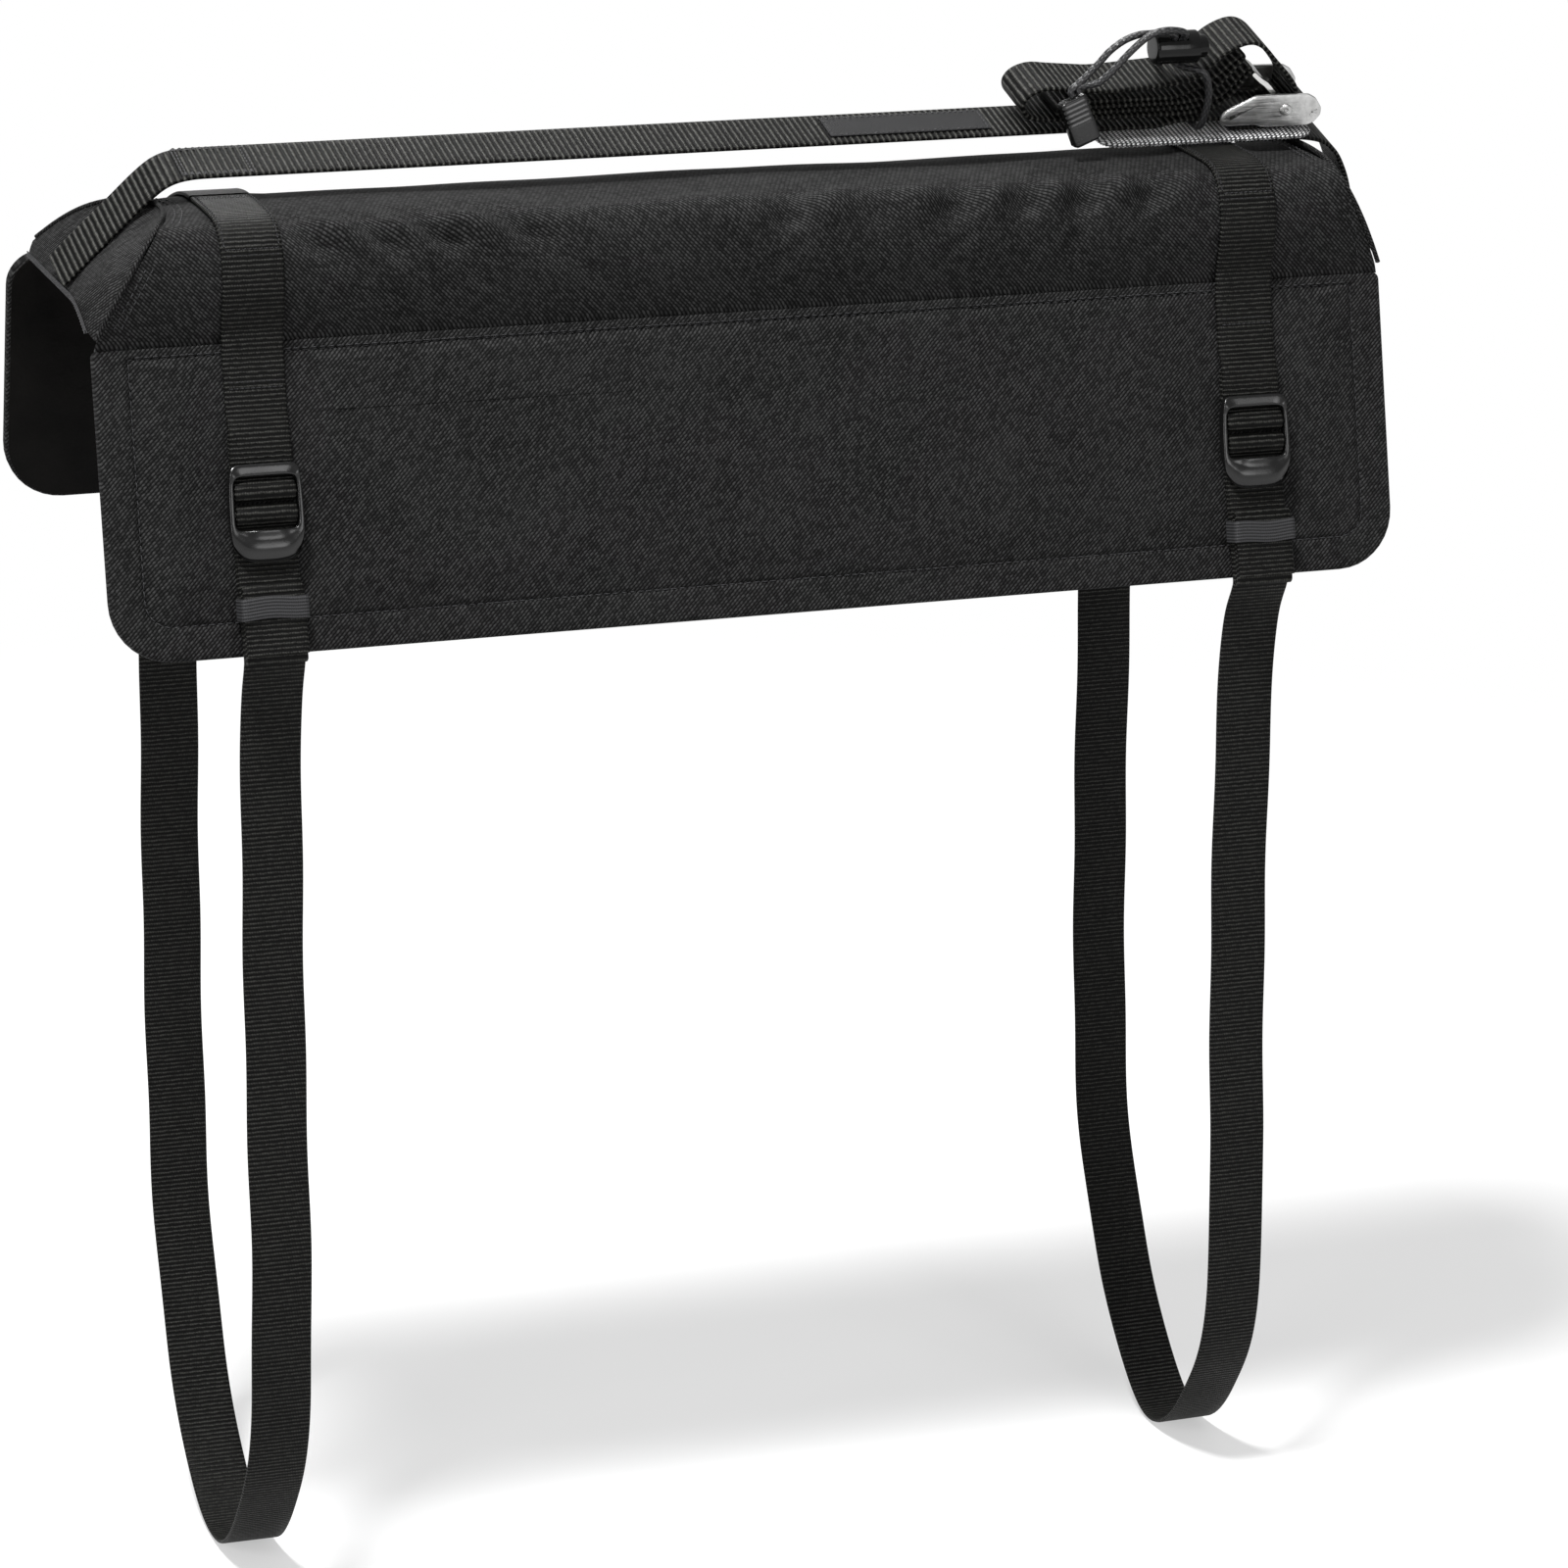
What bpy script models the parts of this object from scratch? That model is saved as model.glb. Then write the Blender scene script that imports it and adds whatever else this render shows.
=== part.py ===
"""Padded tailgate pad with two tailgate straps and a cinch strap with a cam buckle.

Frame: X runs along the pad, -Y is the front (the side with the ladder-lock buckles) and +Z is up.
The origin is the middle of the flat underside of the roll, where the pad rests on a tailgate's
top edge. All sizes are in metres.
"""

import math

import bpy
import bmesh
import numpy as np

# Driving dimensions of the padded body
PAD_LENGTH = 0.560
SADDLE_FRONT = -0.054
SADDLE_REAR = 0.060
FRONT_SEAM_DROP = 0.013
REAR_SEAM_RISE = 0.002
ROLL_HEIGHT = 0.0336
COVER_THICKNESS = 0.0012
LINING_THICKNESS = 0.0012
PUCKER_DEPTH = 0.0030
PUCKER_PITCHES = (0.031, 0.047)
GUSSET_LEAN = 0.024
LEFT_GUSSET_LEAN_MIDDLE = 0.038
RIGHT_GUSSET_LEAN_MIDDLE = 0.020
GUSSET_THICKNESS = 0.0012

# Flaps
FRONT_FLAP_HEIGHT = 0.126
FRONT_FLAP_SPLAY = math.radians(14.5)
REAR_FLAP_HEIGHT = 0.110
REAR_FLAP_SPLAY = math.radians(8.5)
REAR_FLAP_OVERHANG = 0.009
FLAP_THICKNESS = 0.0065
FLAP_SKIN = 0.0022
FLAP_LINING_THICKNESS = 0.0008
FLAP_CORNER = 0.025
REAR_FLAP_TOP_CORNER = 0.014
FRONT_FLAP_TOP_CORNER = 0.003
STITCH_INSET = 0.014
STITCH_DEPTH = 0.0010
FOAM_INSET = 0.0045
FLAP_SEAM_GAP = 0.0008

# Webbing
WEB_WIDTH = 0.0254
WEB_THICKNESS = 0.0018
STRAP_X = 0.2156
LEFT_LOOP_DRIFT = 0.002
RIGHT_LOOP_DRIFT = 0.008
LOOP_DEPTH = 0.551
# Hanging loops, from the rear round the bottom to the front: (y, share of the depth)
LEFT_LOOP = ((0.0815, 0.245), (0.0850, 0.345), (0.0845, 0.544), (0.0800, 0.699), (0.0710, 0.808),
             (0.0520, 0.893), (0.0290, 0.953), (0.0040, 0.990), (-0.0200, 1.0), (-0.0420, 0.987),
             (-0.0660, 0.944), (-0.0850, 0.886), (-0.0940, 0.799), (-0.0945, 0.708), (-0.0880, 0.563),
             (-0.0840, 0.399), (-0.0835, 0.290))
RIGHT_LOOP = ((0.0790, 0.245), (0.0760, 0.345), (0.0720, 0.544), (0.0670, 0.699), (0.0580, 0.808),
              (0.0370, 0.893), (0.0150, 0.951), (-0.0060, 0.989), (-0.0240, 1.0), (-0.0440, 0.985),
              (-0.0650, 0.944), (-0.0830, 0.886), (-0.0900, 0.799), (-0.0880, 0.708), (-0.0830, 0.563),
              (-0.0795, 0.399), (-0.0805, 0.290))
KEEPER_WIDTH = 0.009
KEEPER_THICKNESS = 0.0010
KEEPER_DROP = 0.102

# Ladder-lock buckle: distances down the flap from its seam, and out from its face
BUCKLE_TOP = 0.0490
BAND_HEIGHT = 0.0050
RAIL_THICKNESS = 0.0022
UPPER_BAR_DROP = 0.0605
LOWER_BAR_DROP = 0.0690
BAR_SIZE = 0.0034
BAR_STANDOFF = 0.0043
LIP_TOP = 0.0757
BAND_STANDOFF = 0.0049
BAND_FRONT = 0.0086
RAIL_BACK = 0.0022
RAIL_FRONT = 0.0076

# Cinch strap and its cam buckle: heights on the strap's centre line above the saddle
CINCH_TILT = math.radians(15.0)
CINCH_HEIGHT = 0.0476
BUCKLE_STRAP_HEIGHT = 0.0493
STACK_PITCH = 0.0026
STACK_STANDOFF = 0.0056
LABEL_LEFT = 0.046
LABEL_LENGTH = 0.072
LABEL_WIDTH = 0.017
LABEL_THICKNESS = 0.0005
PAD_STRIP_LEFT = 0.166
PAD_STRIP_RIGHT = 0.265
PAD_STRIP_WIDTH = 0.038
PAD_STRIP_THICKNESS = 0.0036
PAD_STRIP_TOP = 0.0436
PIN_X = 0.2498
PIN_HEIGHT = 0.0540
PIN_RADIUS = 0.0014
PIN_HEAD_RADIUS = 0.0027
PIN_HEAD_LENGTH = 0.0009
CAM_RADIUS = 0.0034
SIDE_PLATE_THICKNESS = 0.0015
FRAME_INSIDE = 0.0268
ANCHOR_BAR_X = 0.2622
ANCHOR_BAR_HEIGHT = 0.0507
ANCHOR_BAR_RADIUS = 0.0018
LEVER_THICKNESS = 0.0016
SPRING_WIRE = 0.0007

# Elastic cord and its lock
CORD_DIAMETER = 0.0030
LOCK_LEFT = 0.1864
LOCK_LENGTH = 0.0200
LOCK_RADIUS = 0.0070
LOCK_WALL = 0.0018
LOCK_FLOOR = 0.0018
LOCK_Y = -0.0167
LOCK_Z = 0.0795
LOCK_HOLE_TURN = math.radians(42.0)
LOCK_STRAND_X = (LOCK_LEFT + 0.0080, LOCK_LEFT + 0.0124)
PLUNGER_TRAVEL = 0.0022
PLUNGER_STANDOUT = 0.0045
LOCK_SPRING_ROOM = 0.0038
CORD_END_SIZE = (0.0125, 0.0060, 0.0205)
CORD_END_CENTRE = (0.1526, -0.0206, 0.0510)
CORD_END_LEAN = math.radians(22.0)

CLEARANCE = 0.0003

# Finishes: colour, roughness and metallic value
CLOTH = ((0.020, 0.020, 0.021), 0.85, 0.0)
LINING = ((0.010, 0.010, 0.010), 0.70, 0.0)
FOAM = ((0.120, 0.120, 0.125), 0.95, 0.0)
WEBBING = ((0.014, 0.014, 0.015), 0.75, 0.0)
HEAVY_WEBBING = ((0.022, 0.022, 0.023), 0.70, 0.0)
ELASTIC = ((0.018, 0.018, 0.018), 0.80, 0.0)
GREY_KNIT = ((0.150, 0.150, 0.150), 0.90, 0.0)
PLASTIC = ((0.016, 0.016, 0.016), 0.35, 0.0)
CAST_METAL = ((0.560, 0.560, 0.560), 0.35, 1.0)
STEEL = ((0.500, 0.500, 0.500), 0.30, 1.0)
WOVEN_LABEL = ((0.012, 0.012, 0.012), 0.80, 0.0)


def clear_scene():
    """Remove every object that the file starts with."""
    for item in list(bpy.data.objects):
        bpy.data.objects.remove(item, do_unlink=True)


def make_material(name, colour, roughness, metallic=0.0):
    """Principled material with a plain colour."""
    material = bpy.data.materials.new(name)
    material.use_nodes = True
    shader = material.node_tree.nodes["Principled BSDF"]
    shader.inputs["Base Color"].default_value = (*colour, 1.0)
    shader.inputs["Roughness"].default_value = roughness
    shader.inputs["Metallic"].default_value = metallic
    return material


def add_solid(name, points, faces, finish, smooth=True):
    """One closed mesh object of triangles whose faces are turned outwards."""
    mesh = bpy.data.meshes.new(name)
    mesh.from_pydata([tuple(p) for p in np.asarray(points, dtype=float)], [], faces)
    sheet = bmesh.new()
    sheet.from_mesh(mesh)
    bmesh.ops.recalc_face_normals(sheet, faces=sheet.faces)
    bmesh.ops.triangulate(sheet, faces=sheet.faces)
    sheet.to_mesh(mesh)
    sheet.free()
    if smooth:
        mesh.shade_smooth()
        mesh.set_sharp_from_angle(angle=math.radians(35.0))
    mesh.materials.append(make_material(name, *finish))
    item = bpy.data.objects.new(name, mesh)
    bpy.context.collection.objects.link(item)
    return item


def set_origin(item, place):
    """Put an object's origin at a place without moving its mesh."""
    place = [float(value) for value in place]
    for vertex in item.data.vertices:
        vertex.co = [vertex.co[k] - place[k] for k in range(3)]
    item.location = place


def ring_faces(count, size, closed=False):
    """Quads between consecutive rings of equal size."""
    spans = count if closed else count - 1
    faces = []
    for i in range(spans):
        j = (i + 1) % count
        for k in range(size):
            m = (k + 1) % size
            faces.append((i * size + k, i * size + m, j * size + m, j * size + k))
    return faces


def add_loft(name, rings, finish, closed=False, smooth=True):
    """Solid through rings of points, capped at both ends unless it closes on itself."""
    rings = np.asarray(rings, dtype=float)
    count, size = rings.shape[:2]
    faces = ring_faces(count, size, closed)
    if not closed:
        faces.append(tuple(range(size)))
        faces.append(tuple((count - 1) * size + k for k in range(size)))
    return add_solid(name, rings.reshape(-1, 3), faces, finish, smooth)


def add_sheet(name, front, back, finish):
    """Solid between two grids of the same size, closed along its four edges."""
    rows, columns = front.shape[:2]
    points = np.concatenate([front.reshape(-1, 3), back.reshape(-1, 3)])
    base = rows * columns
    faces = []
    for i in range(rows - 1):
        for j in range(columns - 1):
            a = i * columns + j
            quad = (a, a + 1, a + columns + 1, a + columns)
            faces.append(quad)
            faces.append(tuple(base + v for v in reversed(quad)))
    rim = [j for j in range(columns)]
    rim += [i * columns + columns - 1 for i in range(1, rows)]
    rim += [(rows - 1) * columns + j for j in range(columns - 2, -1, -1)]
    rim += [i * columns for i in range(rows - 2, 0, -1)]
    for a, b in zip(rim, rim[1:] + rim[:1]):
        faces.append((a, a + base, b + base, b))
    return add_solid(name, points, faces, finish)


def smooth_curve(points, step):
    """Points every step along a Catmull-Rom curve through the given ones."""
    points = np.asarray(points, dtype=float)
    ends = np.vstack([2 * points[0] - points[1], points, 2 * points[-1] - points[-2]])
    fine = []
    for i in range(1, len(ends) - 2):
        p0, p1, p2, p3 = ends[i - 1:i + 3]
        for t in np.linspace(0.0, 1.0, 16, endpoint=False):
            fine.append(0.5 * (2 * p1 + (p2 - p0) * t + (2 * p0 - 5 * p1 + 4 * p2 - p3) * t * t
                               + (3 * p1 - p0 - 3 * p2 + p3) * t ** 3))
    fine.append(points[-1])
    fine = np.array(fine)
    run = np.concatenate([[0.0], np.cumsum(np.linalg.norm(np.diff(fine, axis=0), axis=1))])
    count = max(2, int(round(run[-1] / step)) + 1)
    marks = np.linspace(0.0, run[-1], count)
    return np.column_stack([np.interp(marks, run, fine[:, k]) for k in range(fine.shape[1])])


def arc(centre, radius, start, stop, count):
    """Points on a circular arc in a plane, angles in degrees."""
    angles = np.radians(np.linspace(start, stop, count))
    return np.column_stack([centre[0] + radius * np.cos(angles), centre[1] + radius * np.sin(angles)])


def drop_repeats(path, nearest=0.0004):
    """Leave out points that lie closer than the given distance to the one before."""
    kept = [path[0]]
    for point in path[1:]:
        if np.linalg.norm(point - kept[-1]) > nearest:
            kept.append(point)
    return np.array(kept)


def strip_rings(path, across, width, thickness, closed=False):
    """Rectangular sections along a path, with a constant direction across the strip."""
    path = np.asarray(path, dtype=float)
    across = np.asarray(across, dtype=float)
    across = across / np.linalg.norm(across)
    if closed:
        ahead = np.roll(path, -1, axis=0) - path
        behind = path - np.roll(path, 1, axis=0)
    else:
        steps = np.diff(path, axis=0)
        ahead = np.vstack([steps, steps[-1]])
        behind = np.vstack([steps[0], steps])
    ahead_side = np.cross(ahead / np.linalg.norm(ahead, axis=1)[:, None], across)
    behind_side = np.cross(behind / np.linalg.norm(behind, axis=1)[:, None], across)
    ahead_side /= np.linalg.norm(ahead_side, axis=1)[:, None]
    behind_side /= np.linalg.norm(behind_side, axis=1)[:, None]
    side = ahead_side + behind_side
    side /= np.linalg.norm(side, axis=1)[:, None]
    stretch = 1.0 / np.clip(np.sum(side * ahead_side, axis=1), 0.7, 1.0)
    side = side * (stretch * thickness / 2)[:, None]
    half = across * width / 2
    return np.stack([path + half + side, path - half + side, path - half - side, path + half - side], axis=1)


def add_strip(name, path, across, width, thickness, finish, closed=False):
    """Flat webbing or band along a path."""
    return add_loft(name, strip_rings(path, across, width, thickness, closed), finish, closed)


def apply_boolean(target, tool, operation):
    """Exact boolean on the target, with the tool hidden as a guide."""
    cut = target.modifiers.new(operation.title(), "BOOLEAN")
    cut.operation = operation
    cut.solver = "EXACT"
    cut.object = tool
    tool.hide_render = True
    tool.display_type = "WIRE"


def saddle_frame(seam, splay, side):
    """Direction down a flap and direction out of its face, in the (y, z) plane."""
    down = np.array([side * math.sin(splay), -math.cos(splay)])
    out = np.array([side * math.cos(splay), math.sin(splay)])
    return np.array(seam), down, out


FRONT_SEAM = (SADDLE_FRONT, -FRONT_SEAM_DROP)
REAR_SEAM = (SADDLE_REAR, REAR_SEAM_RISE)
FRONT_FLAP = saddle_frame(FRONT_SEAM, FRONT_FLAP_SPLAY, -1)
REAR_FLAP = saddle_frame(REAR_SEAM, REAR_FLAP_SPLAY, 1)


def on_flap(flap, points):
    """(drop, standoff) pairs on a flap as (y, z) points."""
    seam, down, out = flap
    points = np.asarray(points, dtype=float)
    return seam + points[:, :1] * down + points[:, 1:] * out


def roll_outline(count, offset=0.0):
    """Section of the roll from the front seam over the top to the rear seam, as (y, z)."""
    depth = SADDLE_REAR - SADDLE_FRONT
    shape = [(0.0, 0.0), (-0.022, 0.30), (-0.030, 0.52), (-0.012, 0.74), (0.040, 0.91), (0.115, 0.983),
             (0.245, 1.0), (0.385, 1.0), (0.490, 0.985), (0.595, 0.925), (0.700, 0.810), (0.805, 0.640),
             (0.905, 0.400), (0.975, 0.170), (1.0, 0.0)]
    points = []
    for across, up in shape:
        base = -FRONT_SEAM_DROP * (1 - across) ** 3 + REAR_SEAM_RISE * across ** 3
        points.append((SADDLE_FRONT + across * depth, base + up * (ROLL_HEIGHT - base)))
    curve = smooth_curve(points, 0.0005)
    run = np.concatenate([[0.0], np.cumsum(np.linalg.norm(np.diff(curve, axis=0), axis=1))])
    marks = np.linspace(0.0, run[-1], count)
    curve = np.column_stack([np.interp(marks, run, curve[:, k]) for k in range(2)])
    slope = np.gradient(curve, axis=0)
    out = np.column_stack([-slope[:, 1], slope[:, 0]])
    out /= np.linalg.norm(out, axis=1)[:, None]
    return curve + out * offset


def end_position(side, count):
    """Distance of the gusset seam from the pad's middle, along the roll's section."""
    section = roll_outline(count)
    along = np.linspace(0.0, 1.0, count)
    seam = -FRONT_SEAM_DROP + (REAR_SEAM_RISE + FRONT_SEAM_DROP) * along
    rise = np.clip((section[:, 1] - seam) / (ROLL_HEIGHT - seam), 0.0, 1.0)
    middle = LEFT_GUSSET_LEAN_MIDDLE if side < 0 else RIGHT_GUSSET_LEAN_MIDDLE
    lean = GUSSET_LEAN + (middle - GUSSET_LEAN) * np.sin(math.pi * along) ** 4
    return PAD_LENGTH / 2 - 0.001 - lean * rise


def roll_grid(stations, count, offset):
    """Grid on the roll: rows along X, columns along the section."""
    section = roll_outline(count, offset)
    left = end_position(-1, count)
    right = end_position(1, count)
    share = np.linspace(-1.0, 1.0, stations)[:, None]
    x = np.where(share < 0, share * left, share * right)
    grid = np.empty((stations, count, 3))
    grid[:, :, 0] = x
    grid[:, :, 1] = section[:, 0]
    grid[:, :, 2] = section[:, 1]
    return grid


def pucker(x, along):
    """Depth of the gathers that run across the front top edge of the roll."""
    wave = 0.5 + 0.3 * np.cos(2 * math.pi * x / PUCKER_PITCHES[0])
    wave = wave + 0.2 * np.cos(2 * math.pi * x / PUCKER_PITCHES[1] + 1.0)
    ridge = np.exp(-((along - 0.33) / 0.10) ** 2)
    ends = np.clip((PAD_LENGTH / 2 - 0.03 - np.abs(x)) / 0.03, 0.0, 1.0)
    strap = np.clip((np.abs(np.abs(x) - STRAP_X) - WEB_WIDTH / 2) / 0.010, 0.0, 1.0)
    return PUCKER_DEPTH * wave * ridge * ends * strap


def make_roll():
    """Roll cover, its foam core, the saddle lining and the two end gussets."""
    stations, count = 57, 18
    along = np.linspace(0.0, 1.0, count)[None, :]
    outer = roll_grid(stations, count, 0.0)
    inner = roll_grid(stations, count, -COVER_THICKNESS)
    section = roll_outline(count)
    slope = np.gradient(section, axis=0)
    inward = np.column_stack([slope[:, 1], -slope[:, 0]])
    inward /= np.linalg.norm(inward, axis=1)[:, None]
    sink = pucker(outer[:, :, 0], along)
    for grid in (outer, inner):
        grid[:, :, 1] += sink * inward[:, 0]
        grid[:, :, 2] += sink * inward[:, 1]
    add_sheet("roll_cover", outer, inner, CLOTH)

    lining_end = PAD_LENGTH / 2 - 0.002
    under = smooth_curve([(SADDLE_FRONT + 0.0018, -0.0108), (SADDLE_FRONT + 0.009, -0.0088),
                          (SADDLE_FRONT + 0.019, -0.0032), (SADDLE_FRONT + 0.027, -0.0003)], 0.004)
    rear_edge = SADDLE_REAR - 0.0085
    under = np.vstack([under[:-1], [(SADDLE_FRONT + 0.028, 0.0), (0.0, 0.0), (rear_edge, 0.0)]])
    over = under + np.array([0.0, LINING_THICKNESS])
    rings = []
    for x in np.linspace(-lining_end, lining_end, 9):
        loop = np.vstack([under, over[::-1]])
        rings.append(np.column_stack([np.full(len(loop), x), loop]))
    add_loft("saddle_lining", rings, LINING)

    depth = COVER_THICKNESS + PUCKER_DEPTH + CLEARANCE
    crown = roll_outline(16, -depth)[1:-1]
    floor = LINING_THICKNESS + CLEARANCE
    bed = [(SADDLE_REAR - 0.006, 0.0030), (rear_edge, floor), (SADDLE_FRONT + 0.027, floor),
           (SADDLE_FRONT + 0.017, -0.0012), (SADDLE_FRONT + 0.0075, -0.0070)]
    loop = np.vstack([crown, bed])
    left = end_position(-1, 16)[1:-1]
    right = end_position(1, 16)[1:-1]
    bed_end = np.full(len(bed), PAD_LENGTH / 2 - 0.012)
    rings = []
    for share in (-1.0, -0.6, -0.2, 0.2, 0.6, 1.0):
        edge = np.concatenate([left if share < 0 else right, bed_end]) - 0.004
        rings.append(np.column_stack([share * edge, loop]))
    add_loft("roll_foam_core", rings, FOAM)

    for side, name in ((-1, "left_end_gusset"), (1, "right_end_gusset")):
        columns, rows = count, 6
        seam_x = end_position(side, columns)
        top = np.column_stack([seam_x, section])
        y = SADDLE_FRONT + 0.003 + along[0] * (SADDLE_REAR - SADDLE_FRONT - 0.006)
        dip = np.clip((SADDLE_FRONT + 0.027 - y) / 0.027, 0.0, 1.0)
        z = -(FRONT_SEAM_DROP - 0.002) * dip ** 1.4 + 0.0008
        bottom = np.column_stack([np.full(columns, PAD_LENGTH / 2 - 0.001), y, z])
        keep = slice(1, columns - 1)
        share = np.linspace(0.0, 1.0, rows)[:, None, None]
        grid = top[None, keep] * (1 - share) + bottom[None, keep] * share
        bulge = 0.003 if side > 0 else 0.0012
        lobe = np.sin(math.pi * share[:, :, 0]) * np.sin(math.pi * along[:, keep])
        grid[:, :, 0] += bulge * lobe
        grid[:, :, 2] += 0.5 * bulge * lobe
        back = grid + np.array([CLEARANCE, 0.0, 0.0])
        front = grid + np.array([CLEARANCE + GUSSET_THICKNESS, 0.0, 0.0])
        mirror = np.array([side, 1.0, 1.0])
        add_sheet(name, front * mirror, back * mirror, CLOTH)


def flap_loop(half_length, height, inset, top_corner, arc_steps=6):
    """Outline of a flap drawn in by an inset, as (x, drop) points."""
    top_inset = 0.3 * inset
    x = half_length - inset
    upper = FLAP_SEAM_GAP + top_inset
    lower = height - inset
    top_r = max(top_corner - 0.5 * inset, 0.001)
    low_r = max(FLAP_CORNER - inset, 0.002)
    parts = [arc((x - top_r, upper + top_r), top_r, 0, -90, arc_steps),
             arc((-x + top_r, upper + top_r), top_r, -90, -180, arc_steps),
             arc((-x + low_r, lower - low_r), low_r, 180, 90, arc_steps),
             arc((x - low_r, lower - low_r), low_r, 90, 0, arc_steps)]
    return np.vstack(parts)


def flap_ring(flap, outline, standoff):
    """Outline points lifted to a standoff from the flap's face, in space."""
    place = on_flap(flap, np.column_stack([outline[:, 1], np.full(len(outline), standoff)]))
    return np.column_stack([outline[:, 0], place])


def make_flap(name, flap, half_length, height, top_corner):
    """Outer shell with its stitched border, the foam sheet in it and the lining behind it."""
    back = -FLAP_THICKNESS
    steps = [(FOAM_INSET, -FLAP_SKIN), (FOAM_INSET, back), (0.0006, back), (0.0, back + 0.0006),
             (0.0, -0.0014), (0.0004, -0.0005), (0.0014, 0.0), (STITCH_INSET - 0.0020, 0.0),
             (STITCH_INSET, -STITCH_DEPTH), (STITCH_INSET + 0.0020, 0.0)]
    rings = [flap_ring(flap, flap_loop(half_length, height, inset, top_corner), out)
             for inset, out in steps]
    add_loft(name + "_shell", rings, CLOTH)
    fit = FOAM_INSET + CLEARANCE
    rings = [flap_ring(flap, flap_loop(half_length, height, fit, top_corner), out)
             for out in (back + CLEARANCE, -FLAP_SKIN - CLEARANCE)]
    add_loft(name + "_foam", rings, FOAM)
    rear = back - CLEARANCE
    rings = [flap_ring(flap, flap_loop(half_length, height, 0.0012, top_corner), out)
             for out in (rear - FLAP_LINING_THICKNESS, rear)]
    add_loft(name + "_lining", rings, LINING)


def strap_on_roll(start, stop):
    """Path of a strap's centre line over the roll, between two shares of its section."""
    lift = CLEARANCE + WEB_THICKNESS / 2
    line = roll_outline(46, lift)
    low, high = sorted((start, stop))
    part = line[int(low * 45):int(high * 45) + 1]
    return part if start < stop else part[::-1]


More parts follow.
